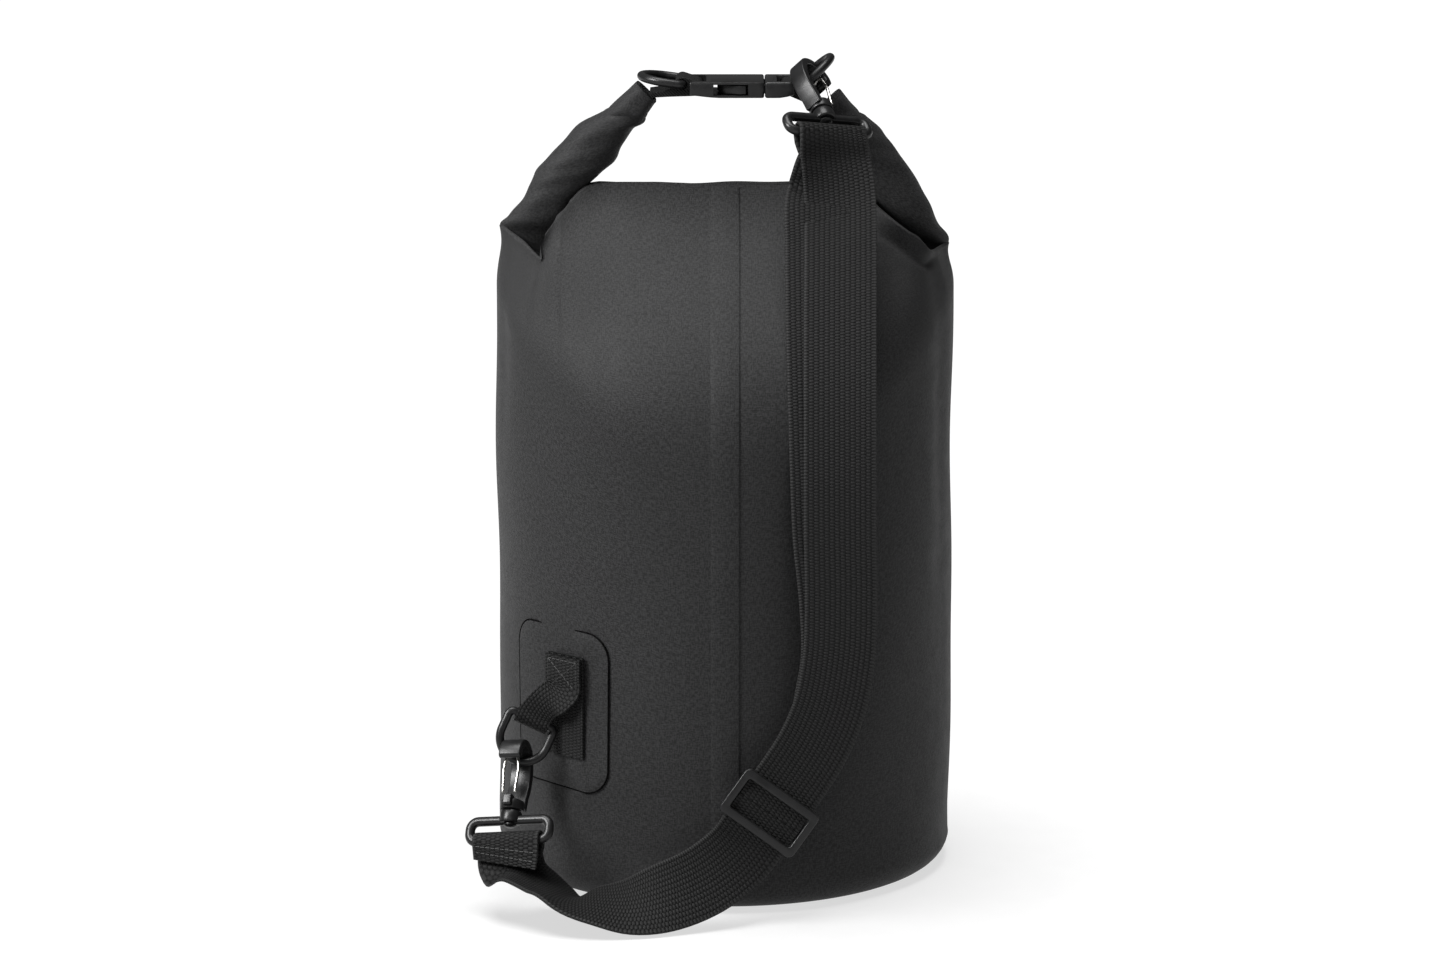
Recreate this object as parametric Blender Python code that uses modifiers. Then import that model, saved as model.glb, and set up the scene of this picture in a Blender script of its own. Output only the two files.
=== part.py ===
"""Roll-top dry bag with a shoulder strap.

The bag stands on its base at z = 0, with its strap side towards -Y. +X runs from the buckle's socket end to its
plug end, and +Z is up. Lengths are in metres.
"""

from math import cos, pi, radians, sin, sqrt

import bmesh
import bpy
from mathutils import Matrix, Vector

# Bag body
RADIUS = 0.123
EDGE_RADIUS = 0.015
WALL = 0.0015
DOME_START = 0.245
BODY_TOP = 0.3435
DOME_TOP = 0.3575
NECK_HALF_DEPTH = 0.010
GAP = 0.0003

# Rolled mouth
ROLL_HEIGHT = 0.026
ROLL_DEPTH = 0.018
ROLL_HALF_LENGTH = 0.0715
ROLL_Z = 0.3578

# Webbing
WEBBING = 0.038
WEBBING_THICK = 0.0018
TAB_WEBBING = 0.0235
LOWER_TAB_WIDTH = 0.0250
LOWER_TAB_AT_RING = 0.0185

# Buckle, lying flat along X
BUCKLE_Z = 0.4237
BUCKLE_HALF_WIDTH = 0.0165
BUCKLE_THICK = 0.0086
SOCKET_LEFT = -0.0188
SOCKET_MOUTH = 0.0210
PLUG_LEFT = 0.0214
PLUG_RIGHT = 0.0372
SOCKET_BAR_X = -0.0152
PLUG_BAR_X = 0.0338
BAR_RADIUS = 0.0017
PRONG_PIVOT_X = 0.0226
PRONG_Y = 0.0108

# Rings and clips
WIRE = 0.0021
RING_HALF_WIDTH = 0.0145
RING_DEPTH = 0.0222
LEFT_RING_BAR = Vector((-0.0226, 0, 0.4262))
RIGHT_RING_BAR = Vector((0.0400, 0, 0.4243))
RIGHT_RING_TILT = radians(42)
LOWER_RING_BAR = Vector((-0.1020, -0.0913, 0.0979))
LOWER_RING_HALF_WIDTH = 0.0130
LOWER_RING_DEPTH = 0.0237
LOOP_HALF_WIDTH = 0.0228
LOOP_TOP = -0.0042
LOOP_BOTTOM = -0.0155
LOOP_WIRE = 0.00225
HOOK_BROAD = 0.0090
HOOK_THICK = 0.0042
GATE_PIVOT = Vector((0.0072, 0, 0.0098))
GATE_TOP = Vector((0.0074, 0, 0.0312))
GATE_WIRE = 0.0008
POST_RADIUS = 0.0020

# Slider on the strap
SLIDER_WIDTH = 0.0470
SLIDER_LENGTH = 0.0275
SLIDER_BAR = 0.0050
SLIDER_BAR_THICK = 0.0024

BLACK_PLASTIC = (0.018, 0.018, 0.019)
CHARCOAL = (0.045, 0.045, 0.047)
BLACK_WEBBING = (0.012, 0.012, 0.013)
STEEL = (0.55, 0.54, 0.52)


def clear_scene():
    for obj in list(bpy.data.objects):
        bpy.data.objects.remove(obj, do_unlink=True)


def new_collection(name):
    collection = bpy.data.collections.new(name)
    bpy.context.scene.collection.children.link(collection)
    return collection


def new_material(name, colour, roughness, metallic=0.0):
    material = bpy.data.materials.new(name)
    material.use_nodes = True
    shader = material.node_tree.nodes["Principled BSDF"]
    shader.inputs["Base Color"].default_value = (*colour, 1.0)
    shader.inputs["Roughness"].default_value = roughness
    shader.inputs["Metallic"].default_value = metallic
    return material


clear_scene()
PARTS = new_collection("roll_top_dry_bag")
CUTTERS = new_collection("cutters")
COATED_FABRIC = new_material("coated_fabric", CHARCOAL, 0.75)
WOVEN = new_material("black_webbing", BLACK_WEBBING, 0.85)
ACETAL = new_material("black_acetal", BLACK_PLASTIC, 0.38)
WIRE_STEEL = new_material("gate_wire", STEEL, 0.25, 1.0)


def frame_matrix(origin, x_axis, z_axis):
    """A placement whose Z is z_axis, and whose X lies as near x_axis as a right angle allows."""
    z_axis = Vector(z_axis).normalized()
    x_axis = Vector(x_axis)
    x_axis = (x_axis - z_axis * x_axis.dot(z_axis)).normalized()
    y_axis = z_axis.cross(x_axis)
    matrix = Matrix((x_axis, y_axis, z_axis)).transposed().to_4x4()
    matrix.translation = Vector(origin)
    return matrix


def add(name, data, material, matrix=None, smooth=True, collection=None):
    """One object of the bag, or a cutter when a collection is given."""
    obj = bpy.data.objects.new(name, data)
    (collection or PARTS).objects.link(obj)
    if matrix is not None:
        obj.matrix_world = matrix
    data.materials.clear()
    data.materials.append(material)
    if smooth and isinstance(data, bpy.types.Mesh):
        data.shade_smooth()
        data.set_sharp_from_angle(angle=radians(35))
    if collection is not None:
        obj.hide_render = True
        obj.display_type = "WIRE"
    return obj


def mesh_from(build):
    """A mesh that build(bm) fills."""
    bm = bmesh.new()
    build(bm)
    bmesh.ops.recalc_face_normals(bm, faces=bm.faces)
    mesh = bpy.data.meshes.new("shape")
    bm.to_mesh(mesh)
    bm.free()
    return mesh


def box_mesh(low, high, round_by=0.0):
    """A box between two corners, with its edges bevelled."""
    low = Vector(low)
    high = Vector(high)

    def build(bm):
        bmesh.ops.create_cube(bm, size=1.0)
        for vertex in bm.verts:
            for axis in range(3):
                middle = (low[axis] + high[axis]) / 2
                vertex.co[axis] = middle + vertex.co[axis] * (high[axis] - low[axis])
        if round_by > 0:
            bmesh.ops.bevel(
                bm, geom=list(bm.edges), offset=round_by, segments=2, profile=0.5, affect="EDGES"
            )

    return mesh_from(build)


def cylinder_mesh(radius, low, high, segments=28):
    """A cylinder on the Z axis."""

    def build(bm):
        bmesh.ops.create_cone(
            bm, cap_ends=True, segments=segments, radius1=radius, radius2=radius, depth=high - low
        )
        bmesh.ops.translate(bm, verts=bm.verts, vec=(0, 0, (low + high) / 2))

    return mesh_from(build)


def wire_curve(points, radius, cyclic=False, sides=2):
    """A round bar along the points."""
    curve = bpy.data.curves.new("wire", "CURVE")
    curve.dimensions = "3D"
    curve.bevel_depth = radius
    curve.bevel_resolution = sides
    curve.use_fill_caps = True
    spline = curve.splines.new("POLY")
    spline.points.add(len(points) - 1)
    for point, place in zip(spline.points, points):
        point.co = (*place, 1.0)
    spline.use_cyclic_u = cyclic
    return curve


def outline_curve(loops, half_thickness):
    """A flat outline with its holes, as thick as asked, in the XY plane of its object."""
    curve = bpy.data.curves.new("outline", "CURVE")
    curve.dimensions = "2D"
    curve.fill_mode = "BOTH"
    curve.extrude = half_thickness
    for loop in loops:
        spline = curve.splines.new("POLY")
        spline.points.add(len(loop) - 1)
        for point, place in zip(spline.points, loop):
            point.co = (place[0], place[1], 0.0, 1.0)
        spline.use_cyclic_u = True
    return curve


def curve_to_mesh(curve):
    """The curve's mesh with its caps welded on, so that a Boolean can take it."""
    helper = bpy.data.objects.new("helper", curve)
    PARTS.objects.link(helper)
    graph = bpy.context.evaluated_depsgraph_get()
    mesh = bpy.data.meshes.new_from_object(helper.evaluated_get(graph))
    bpy.data.objects.remove(helper, do_unlink=True)
    bm = bmesh.new()
    bm.from_mesh(mesh)
    bmesh.ops.remove_doubles(bm, verts=bm.verts, dist=0.000005)
    bmesh.ops.recalc_face_normals(bm, faces=bm.faces)
    bm.to_mesh(mesh)
    bm.free()
    return mesh


def boolean(obj, other_mesh, operation, matrix=None):
    """Adds a Boolean with a helper solid that the build leaves out."""
    helper = add(
        obj.name + "_" + operation.lower(),
        other_mesh,
        ACETAL,
        matrix if matrix is not None else obj.matrix_world.copy(),
        collection=CUTTERS,
    )
    modifier = obj.modifiers.new(operation.title(), "BOOLEAN")
    modifier.operation = operation
    modifier.object = helper
    return helper


def arc(centre, radius, start, end, steps):
    """Points on an arc, with its angles in degrees."""
    points = []
    for step in range(steps + 1):
        angle = radians(start + (end - start) * step / steps)
        points.append((centre[0] + radius * cos(angle), centre[1] + radius * sin(angle)))
    return points


def circle(centre, radius, steps=20):
    return arc(centre, radius, 0, 360, steps)[:-1]


def smooth_route(points, per_span, lengths=None):
    """A smooth curve through vectors of any length, with the spans' own lengths unless they are given."""
    if lengths is None:
        lengths = [(after - before).length for before, after in zip(points, points[1:])]
    rates = [(points[i + 1] - points[i]) / lengths[i] for i in range(len(lengths))]
    slopes = [rates[0]]
    for i in range(1, len(rates)):
        both = lengths[i - 1] + lengths[i]
        slopes.append((rates[i - 1] * lengths[i] + rates[i] * lengths[i - 1]) / both)
    slopes.append(rates[-1])
    route = []
    for i, length in enumerate(lengths):
        for step in range(per_span):
            t = step / per_span
            start = points[i] * (2 * t**3 - 3 * t**2 + 1) + slopes[i] * (length * (t**3 - 2 * t**2 + t))
            end = points[i + 1] * (3 * t**2 - 2 * t**3) + slopes[i + 1] * (length * (t**3 - t**2))
            route.append(start + end)
    route.append(points[-1].copy())
    return route


def ribbon_mesh(route, thick, per_span=3):
    """A flat strip along a route of (place, direction of its width, width)."""
    places = [Vector(place) for place, _, _ in route]
    lengths = [(after - before).length for before, after in zip(places, places[1:])]
    centres = smooth_route(places, per_span)
    sides = smooth_route([Vector(side).normalized() for _, side, _ in route], per_span, lengths)
    halves = smooth_route([Vector((width / 2, 0, 0)) for _, _, width in route], per_span, lengths)

    def build(bm):
        rings = []
        for i, centre in enumerate(centres):
            before = centres[max(i - 1, 0)]
            after = centres[min(i + 1, len(centres) - 1)]
            along = (after - before).normalized()
            side = (sides[i] - along * sides[i].dot(along)).normalized()
            normal = along.cross(side)
            half = halves[i].x
            corners = ((-1, -1), (1, -1), (1, 1), (-1, 1))
            ring = [
                bm.verts.new(centre + side * (u * half) + normal * (v * thick / 2))
                for u, v in corners
            ]
            rings.append(ring)
        for first, second in zip(rings, rings[1:]):
            for k in range(4):
                bm.faces.new((first[k], first[(k + 1) % 4], second[(k + 1) % 4], second[k]))
        bm.faces.new(rings[0][::-1])
        bm.faces.new(rings[-1])

    return mesh_from(build)


# ---------------------------------------------------------------- bag body


def dome_half_depth(z):
    """Half of the bag's depth at a height: round up to the dome's start, then flattening to the roll."""
    if z <= DOME_START:
        return RADIUS
    rise = (z - DOME_START) / (DOME_TOP - DOME_START)
    return NECK_HALF_DEPTH + (RADIUS - NECK_HALF_DEPTH) * sqrt(max(0.0, 1 - rise**2))


def add_body_tube():
    """The coated tube: round at the base, flattened to a line at the top, open at both ends."""
    rows = []
    for step in range(5):
        angle = radians(90 * step / 4)
        inset = EDGE_RADIUS * (1 - sin(angle))
        rows.append((RADIUS - inset, RADIUS - inset, EDGE_RADIUS * (1 - cos(angle))))
    for z in (0.10, 0.19, DOME_START, 0.275, 0.300, 0.320, 0.334, BODY_TOP):
        rows.append((RADIUS, dome_half_depth(z), z))
    around = 48

    def build(bm):
        rings = []
        for half_width, half_depth, z in rows:
            ring = []
            for k in range(around):
                angle = 2 * pi * k / around
                ring.append(bm.verts.new((half_width * cos(angle), half_depth * sin(angle), z)))
            rings.append(ring)
        for low, high in zip(rings, rings[1:]):
            for k in range(around):
                bm.faces.new((low[k], low[(k + 1) % around], high[(k + 1) % around], high[k]))

    body = add("body_tube", mesh_from(build), COATED_FABRIC)
    shell = body.modifiers.new("Wall", "SOLIDIFY")
    shell.thickness = WALL
    shell.offset = -1.0


def add_base_panel():
    """The flat round panel that the bag stands on."""
    mesh = cylinder_mesh(RADIUS - EDGE_RADIUS - GAP, 0.0, WALL, segments=48)
    add("base_panel", mesh, COATED_FABRIC)


def surface_sheet(name, angle, width, low_z, high_z, thick, corner, material):
    """A sheet that follows the round wall. angle is measured from -Y towards -X."""
    stand_off = RADIUS + GAP + thick / 2
    columns = 12
    rows = 10
    height = high_z - low_z

    def half_width_at(z):
        from_edge = min(z - low_z, high_z - z)
        if from_edge >= corner:
            return width / 2
        return width / 2 - corner + sqrt(max(0.0, corner**2 - (corner - from_edge) ** 2))

    def build(bm):
        grid = []
        for row in range(rows + 1):
            z = low_z + height * (1 - cos(pi * row / rows)) / 2
            half = max(half_width_at(z), 0.002)
            line = []
            for column in range(columns + 1):
                along = -half + 2 * half * column / columns
                turn = angle - along / RADIUS
                line.append(bm.verts.new((-stand_off * sin(turn), -stand_off * cos(turn), z)))
            grid.append(line)
        for low, high in zip(grid, grid[1:]):
            for k in range(columns):
                bm.faces.new((low[k], low[k + 1], high[k + 1], high[k]))

    sheet = add(name, mesh_from(build), material)
    shell = sheet.modifiers.new("Thickness", "SOLIDIFY")
    shell.thickness = thick
    shell.offset = 0.0


def add_seam_strip():
    """The welded overlap that closes the tube, up the strap side."""
    surface_sheet("back_seam_strip", radians(-1.0), 0.0135, 0.020, DOME_START, 0.0006, 0.0, COATED_FABRIC)


def add_mouth_roll():
    """The middle of the rolled mouth, with the stiffener strip in its core."""
    half_height = ROLL_HEIGHT / 2
    half_depth = ROLL_DEPTH / 2
    shoulder = half_height - half_depth
    outside = arc((0, shoulder), half_depth, 0, 180, 8) + arc((0, -shoulder), half_depth, 180, 360, 8)
    slot = [(-0.0012, -0.0095), (-0.0012, 0.0095), (0.0012, 0.0095), (0.0012, -0.0095)]
    placement = frame_matrix((0, 0, ROLL_Z), (0, 1, 0), (1, 0, 0))
    add("mouth_roll", outline_curve([outside, slot], ROLL_HALF_LENGTH), COATED_FABRIC, placement)
    strip = box_mesh((-0.070, -0.0007, ROLL_Z - 0.0090), (0.070, 0.0007, ROLL_Z + 0.0090))
    add("roll_stiffener", strip, ACETAL)


def add_arm(name, outline, side):
    """A rolled end of the mouth, bent up to the handle. The outline is in X and Z."""
    points = [(side * x, z) for x, z in outline]
    placement = frame_matrix((0, 0, 0), (1, 0, 0), (0, -1, 0))
    mesh = curve_to_mesh(outline_curve([points], ROLL_DEPTH / 2))
    arm = add(name, mesh, COATED_FABRIC, placement)
    bevel = arm.modifiers.new("Round", "BEVEL")
    bevel.width = 0.004
    bevel.segments = 2
    bevel.limit_method = "ANGLE"
    bevel.angle_limit = radians(60)


def add_arms():
    add_arm(
        "left_arm",
        [
            (0.1195, 0.3462), (0.1205, 0.3490), (0.1060, 0.3680), (0.0990, 0.3790), (0.0878, 0.3924),
            (0.0786, 0.4027), (0.0620, 0.4124), (0.0469, 0.4255), (0.0372, 0.4157), (0.0425, 0.4080),
            (0.0540, 0.3930), (0.0589, 0.3838), (0.0722, 0.3745), (0.0722, 0.3462),
        ],
        -1,
    )
    add_arm(
        "right_arm",
        [
            (0.1195, 0.3462), (0.1190, 0.3480), (0.1103, 0.3620), (0.1035, 0.3735), (0.0951, 0.3860),
            (0.0862, 0.3985), (0.0545, 0.3985), (0.0560, 0.3940), (0.0620, 0.3840), (0.0722, 0.3745),
            (0.0722, 0.3462),
        ],
        1,
    )
    add_arm(
        "right_arm_tip",
        [
            (0.0858, 0.3990), (0.0790, 0.4060), (0.0724, 0.4095), (0.0625, 0.4205), (0.0525, 0.4110),
            (0.0520, 0.4060), (0.0542, 0.3990),
        ],
        1,
    )


# ---------------------------------------------------------------- handle


def buckle_box(low_x, low_y, low_z, high_x, high_y, high_z, round_by=0.0):
    """A box in the buckle's own frame: X along the handle, Y across it, Z up from its middle."""
    return box_mesh(
        (low_x, low_y, BUCKLE_Z + low_z), (high_x, high_y, BUCKLE_Z + high_z), round_by
    )


def add_buckle_socket():
    """The hollow half of the side-release buckle, with side windows and a webbing bar."""
    half = BUCKLE_THICK / 2
    wide = BUCKLE_HALF_WIDTH
    socket = add(
        "buckle_socket",
        buckle_box(SOCKET_LEFT, -wide, -half, SOCKET_MOUTH, wide, half, 0.0010),
        ACETAL,
    )
    boolean(socket, buckle_box(-0.0065, -0.0148, -0.0028, 0.030, 0.0148, 0.0028), "DIFFERENCE")
    for side in (-1, 1):
        low, high = sorted((side * 0.0140, side * 0.0200))
        boolean(socket, buckle_box(-0.0060, low, -0.0029, 0.0125, high, 0.0029), "DIFFERENCE")
    reach = TAB_WEBBING / 2 + 0.0006
    left = SOCKET_BAR_X - BAR_RADIUS
    right = SOCKET_BAR_X + BAR_RADIUS
    boolean(socket, buckle_box(-0.0300, -reach, -0.0090, left, reach, 0.0090), "DIFFERENCE")
    boolean(socket, buckle_box(right, -reach, -0.0090, -0.0098, reach, 0.0090), "DIFFERENCE")
    for side in (-1, 1):
        low, high = sorted((side * BAR_RADIUS, side * 0.0090))
        boolean(socket, buckle_box(left - 0.001, -reach, low, right + 0.001, reach, high), "DIFFERENCE")


def add_buckle_plug():
    """The plug: a base with its webbing bar, and the tongue that guides it."""
    half = BUCKLE_THICK / 2
    wide = BUCKLE_HALF_WIDTH
    plug = add(
        "buckle_plug",
        buckle_box(PLUG_LEFT, -wide, -half, PLUG_RIGHT, wide, half, 0.0010),
        ACETAL,
    )
    boolean(plug, buckle_box(-0.0040, -0.0030, -0.0018, 0.0230, 0.0030, 0.0018), "UNION")
    for side in (-1, 1):
        low, high = sorted((side * 0.0075, side * 0.0145))
        boolean(plug, buckle_box(0.0100, low, -0.0029, 0.0256, high, 0.0029), "DIFFERENCE")
    reach = TAB_WEBBING / 2 + 0.0006
    left = PLUG_BAR_X - BAR_RADIUS
    right = PLUG_BAR_X + BAR_RADIUS
    boolean(plug, buckle_box(right, -reach, -0.0090, 0.0450, reach, 0.0090), "DIFFERENCE")
    boolean(plug, buckle_box(0.0278, -reach, -0.0090, left, reach, 0.0090), "DIFFERENCE")
    for side in (-1, 1):
        low, high = sorted((side * BAR_RADIUS, side * 0.0090))
        boolean(plug, buckle_box(left - 0.001, -reach, low, right + 0.001, reach, high), "DIFFERENCE")


def add_prong(name, side):
    """A springing prong, with its origin on the place where it bends."""
    outline = [
        (0.0022, -0.0012), (0.0022, 0.0012), (-0.0110, 0.0014), (-0.0112, 0.0050), (-0.0150, 0.0052),
        (-0.0230, 0.0020), (-0.0262, -0.0004), (-0.0250, -0.0012),
    ]
    points = [(x, side * y) for x, y in outline]
    placement = Matrix.Translation((PRONG_PIVOT_X, side * PRONG_Y, BUCKLE_Z))
    add(name, outline_curve([points], 0.0024), ACETAL, placement)


def tab_outline(first_bar, second_bar, tail):
    """A webbing tab seen from its edge: wrapped round two bars, with a tail to the roll's end."""
    outer = 0.0036
    return [
        arc(first_bar, outer, *tail[0], 8) + arc(second_bar, outer, *tail[1], 6) + tail[2],
        circle(first_bar, 0.0026, 16),
        circle(second_bar, 0.0026, 16),
    ]


def add_tabs():
    placement = frame_matrix((0, 0, 0), (1, 0, 0), (0, -1, 0))
    left = tab_outline(
        (SOCKET_BAR_X, BUCKLE_Z),
        (LEFT_RING_BAR.x, LEFT_RING_BAR.z),
        [
            (-100, 70),
            (75, 190),
            [(-0.0330, 0.4225), (-0.0400, 0.4215), (-0.0394, 0.4190), (-0.0300, 0.4195)],
        ],
    )
    add("left_tab", outline_curve(left, TAB_WEBBING / 2), WOVEN, placement)
    right = tab_outline(
        (PLUG_BAR_X, BUCKLE_Z),
        (RIGHT_RING_BAR.x, RIGHT_RING_BAR.z),
        [
            (280, 110),
            (105, -20),
            [
                (0.0452, 0.4185), (0.0490, 0.4156), (0.0542, 0.4136), (0.0530, 0.4118), (0.0480, 0.4130),
                (0.0425, 0.4165),
            ],
        ],
    )
    add("right_tab", outline_curve(right, TAB_WEBBING / 2), WOVEN, placement)


def ring_points(half_width, depth, bow=9):
    """A D in the XY plane: its straight bar on the X axis, its bow towards -Y."""
    corner = 0.0028
    radius = half_width
    straight = depth - radius
    points = arc((half_width - corner, -corner), corner, 90, 0, 3)
    if straight > corner:
        points += arc((0, -straight), radius, 0, -180, bow * 2)
    points += arc((-half_width + corner, -corner), corner, 180, 90, 3)
    return [(x, y, 0) for x, y in points]


def add_rings():
    """The three D-rings, each with its origin on its bar, which is its joint's axis."""
    free = frame_matrix(LEFT_RING_BAR, (0, 1, 0), (-0.14, 0, -0.99))
    points = ring_points(RING_HALF_WIDTH, RING_DEPTH)
    add("left_d_ring", wire_curve(points, WIRE, cyclic=True), ACETAL, free)
    up = Vector((cos(RIGHT_RING_TILT), 0, sin(RIGHT_RING_TILT)))
    normal = Vector((0, 1, 0)).cross(-up)
    held = frame_matrix(RIGHT_RING_BAR, (0, 1, 0), normal)
    add("right_d_ring", wire_curve(points, WIRE, cyclic=True), ACETAL, held)
    lower = frame_matrix(LOWER_RING_BAR, LOWER_RING_ACROSS, LOWER_RING_NORMAL)
    points = ring_points(LOWER_RING_HALF_WIDTH, LOWER_RING_DEPTH)
    add("lower_d_ring", wire_curve(points, WIRE, cyclic=True), ACETAL, lower)


# ---------------------------------------------------------------- swivel clips

UPPER_CLIP = frame_matrix((0.0518, -0.0340, 0.4137), (0.93, 0.35, -0.137), (-0.24, 0.80, 0.55))
UPPER_TURN = radians(28)
LOWER_CLIP = frame_matrix((-0.1128, -0.1149, 0.0528), (0.87, -0.48, -0.07), (0.089, 0.559, 0.826))
LOWER_TURN = radians(-85)
LOWER_RING_DROP = Vector((-0.409, -0.270, -0.869)).normalized()
LOWER_RING_ACROSS = Vector((0.901, 0.024, -0.433)).normalized()
LOWER_RING_NORMAL = LOWER_RING_DROP.cross(LOWER_RING_ACROSS)


def hook_outline():
    """The hook's edge outline in its own plane: X towards the gate, Y up from the swivel."""
    middle = [
        Vector((-0.0048, 0.0030)), Vector((-0.0060, 0.0090)), Vector((-0.0088, 0.0175)),
        Vector((-0.0088, 0.0270)), Vector((-0.0052, 0.0350)), Vector((0.0010, 0.0379)),
        Vector((0.0072, 0.0362)), Vector((0.0108, 0.0318)), Vector((0.0112, 0.0290)),
    ]
    line = smooth_route(middle, 3)
    outer = []
    inner = []
    for i, place in enumerate(line):
        along = (line[min(i + 1, len(line) - 1)] - line[max(i - 1, 0)]).normalized()
        side = Vector((-along.y, along.x))
        outer.append(place + side * (HOOK_THICK / 2))
        inner.append(place - side * (HOOK_THICK / 2))
    return [tuple(place) for place in outer + inner[::-1]]


def add_hook(name, placement, turn):
    """The hook with its round base, bored for the swivel post."""
    turned = placement @ Matrix.Rotation(turn, 4, "Z")
    upright = turned @ Matrix.Rotation(radians(90), 4, "X")
    base = add(name, cylinder_mesh(0.0063, 0.0010, 0.0066), ACETAL, turned)
    spine = curve_to_mesh(outline_curve([hook_outline()], HOOK_BROAD / 2))
    boolean(base, spine, "UNION", upright)
    ear = box_mesh((0.0030, -0.0022, 0.0020), (0.0092, 0.0022, 0.0082))
    boolean(base, ear, "UNION", turned)
    boolean(base, cylinder_mesh(POST_RADIUS + 0.0004, -0.002, 0.020), "DIFFERENCE", turned)
    boolean(base, cylinder_mesh(0.0035, 0.0037, 0.0120), "DIFFERENCE", turned)


def add_gate(name, placement, turn):
    """The springing wire gate: one wire bent into a loop, with its origin on its pivot."""
    turned = placement @ Matrix.Rotation(turn, 4, "Z") @ Matrix.Translation(GATE_PIVOT)
    rise = GATE_TOP - GATE_PIVOT
    half = 0.0034
    points = [
        (0.0, -half, 0.0), (rise.x, -half, rise.z - 0.0040), (rise.x - 0.0002, -half + 0.0014, rise.z - 0.0005),
        (rise.x, 0.0, rise.z), (rise.x - 0.0002, half - 0.0014, rise.z - 0.0005),
        (rise.x, half, rise.z - 0.0040), (0.0, half, 0.0),
    ]
    add(name, wire_curve(points, GATE_WIRE, sides=1), WIRE_STEEL, turned)


def loop_points():
    """The centreline of a strap loop: a rounded rectangle in X and Z."""
    corner = 0.0030
    right = LOOP_HALF_WIDTH - corner
    points = arc((right, LOOP_TOP - corner), corner, 90, 0, 4)
    points += arc((right, LOOP_BOTTOM + corner), corner, 0, -90, 4)
    points += arc((-right, LOOP_BOTTOM + corner), corner, -90, -180, 4)
    points += arc((-right, LOOP_TOP - corner), corner, 180, 90, 4)
    return [(x, 0, z) for x, z in points]


def add_strap_loop(name, placement):
    """The loop that the strap goes through, with the boss that holds the swivel post."""
    loop = add(name, curve_to_mesh(wire_curve(loop_points(), LOOP_WIRE, cyclic=True)), ACETAL, placement)
    boolean(loop, cylinder_mesh(0.0058, -0.0060, 0.0005), "UNION", placement)
    boolean(loop, cylinder_mesh(POST_RADIUS + 0.0003, -0.020, 0.010), "DIFFERENCE", placement)


def add_post(name, placement):
    """The swivel post: a rivet with a head at each end."""
    profile = [
        (0.0, 0.0052), (0.0031, 0.0052), (0.0031, 0.0042), (POST_RADIUS, 0.0040),
        (POST_RADIUS, -0.0063), (0.0033, -0.0065), (0.0028, -0.0076), (0.0, -0.0078),
    ]

    def build(bm):
        verts = [bm.verts.new((x, 0, z)) for x, z in profile]
        for first, second in zip(verts, verts[1:]):
            bm.edges.new((first, second))

    mesh = mesh_from(build)
    post = add(name, mesh, ACETAL, placement)
    screw = post.modifiers.new("Turn", "SCREW")
    screw.axis = "Z"
    screw.angle = 2 * pi
    screw.steps = 20
    screw.render_steps = 20
    screw.use_merge_vertices = True
    screw.merge_threshold = 0.00005


def add_clip(prefix, placement, turn):
    add_hook(prefix + "_hook", placement, turn)
    add_gate(prefix + "_gate", placement, turn)
    add_strap_loop(prefix + "_strap_loop", placement)
    add_post(prefix + "_swivel_post", placement)


# ---------------------------------------------------------------- shoulder strap

# The slider's place on the strap, which runs straight through it.
SLIDER_CENTRE = Vector((0.0232, -0.1360, 0.0590))
SLIDER_ALONG = Vector((0.576, 0.123, 0.808)).normalized()
SLIDER_ACROSS = Vector((0.81, 0, -0.59))
STRAIGHT = [
    (tuple(SLIDER_CENTRE + SLIDER_ALONG * (0.0115 * step)), tuple(SLIDER_ACROSS)) for step in (2, 1, 0, -1, -2)
]

# The strap's middle line and the direction of its width, from the upper loop to the lower one.
STRAP_ABOVE = [
    ((0.0606, -0.0560, 0.3730), (1, 0, 0)),
    ((0.0607, -0.0730, 0.3500), (1, 0, 0)),
    ((0.0603, -0.0930, 0.3230), (1, 0, 0)),
    ((0.0600, -0.1120, 0.2860), (1, 0, 0)),
    ((0.0600, -0.1235, 0.2400), (1, 0, 0)),
    ((0.0602, -0.1265, 0.2030), (1, 0, 0)),
    ((0.0607, -0.1275, 0.1700), (1, 0, 0)),
    ((0.0594, -0.1285, 0.1380), (0.99, 0, -0.12)),
    ((0.0545, -0.1295, 0.1130), (0.93, 0, -0.36)),
    ((0.0460, -0.1312, 0.0930), (0.85, 0, -0.52)),
]
STRAP_BELOW = [
    ((-0.0067, -0.1450, 0.0270), (0.62, -0.25, -0.74)),
    ((-0.0297, -0.1520, 0.0178), (0.30, -0.52, -0.80)),
    ((-0.0501, -0.1540, 0.0132), (0.12, -0.82, -0.55)),
    ((-0.0680, -0.1520, 0.0120), (-0.08, -0.99, -0.10)),
    ((-0.0840, -0.1450, 0.0150), (-0.38, -0.90, 0.22)),
    ((-0.0940, -0.1385, 0.0186), (-0.66, -0.72, 0.22)),
    ((-0.1017, -0.1327, 0.0211), (-0.85, -0.50, 0.20)),
]
STRAP_ROUTE = STRAP_ABOVE + STRAIGHT + STRAP_BELOW


def behind(route, distance):
    """The route moved towards the bag by a distance."""
    return [((x, y + distance, z), across) for (x, y, z), across in route]


def add_ribbon(name, route, width=WEBBING):
    """A webbing strip. A point of the route may state a width of its own."""
    full = [(point[0], point[1], point[2] if len(point) > 2 else width) for point in route]
    add(name, ribbon_mesh(full, WEBBING_THICK), WOVEN, smooth=False)


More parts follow.
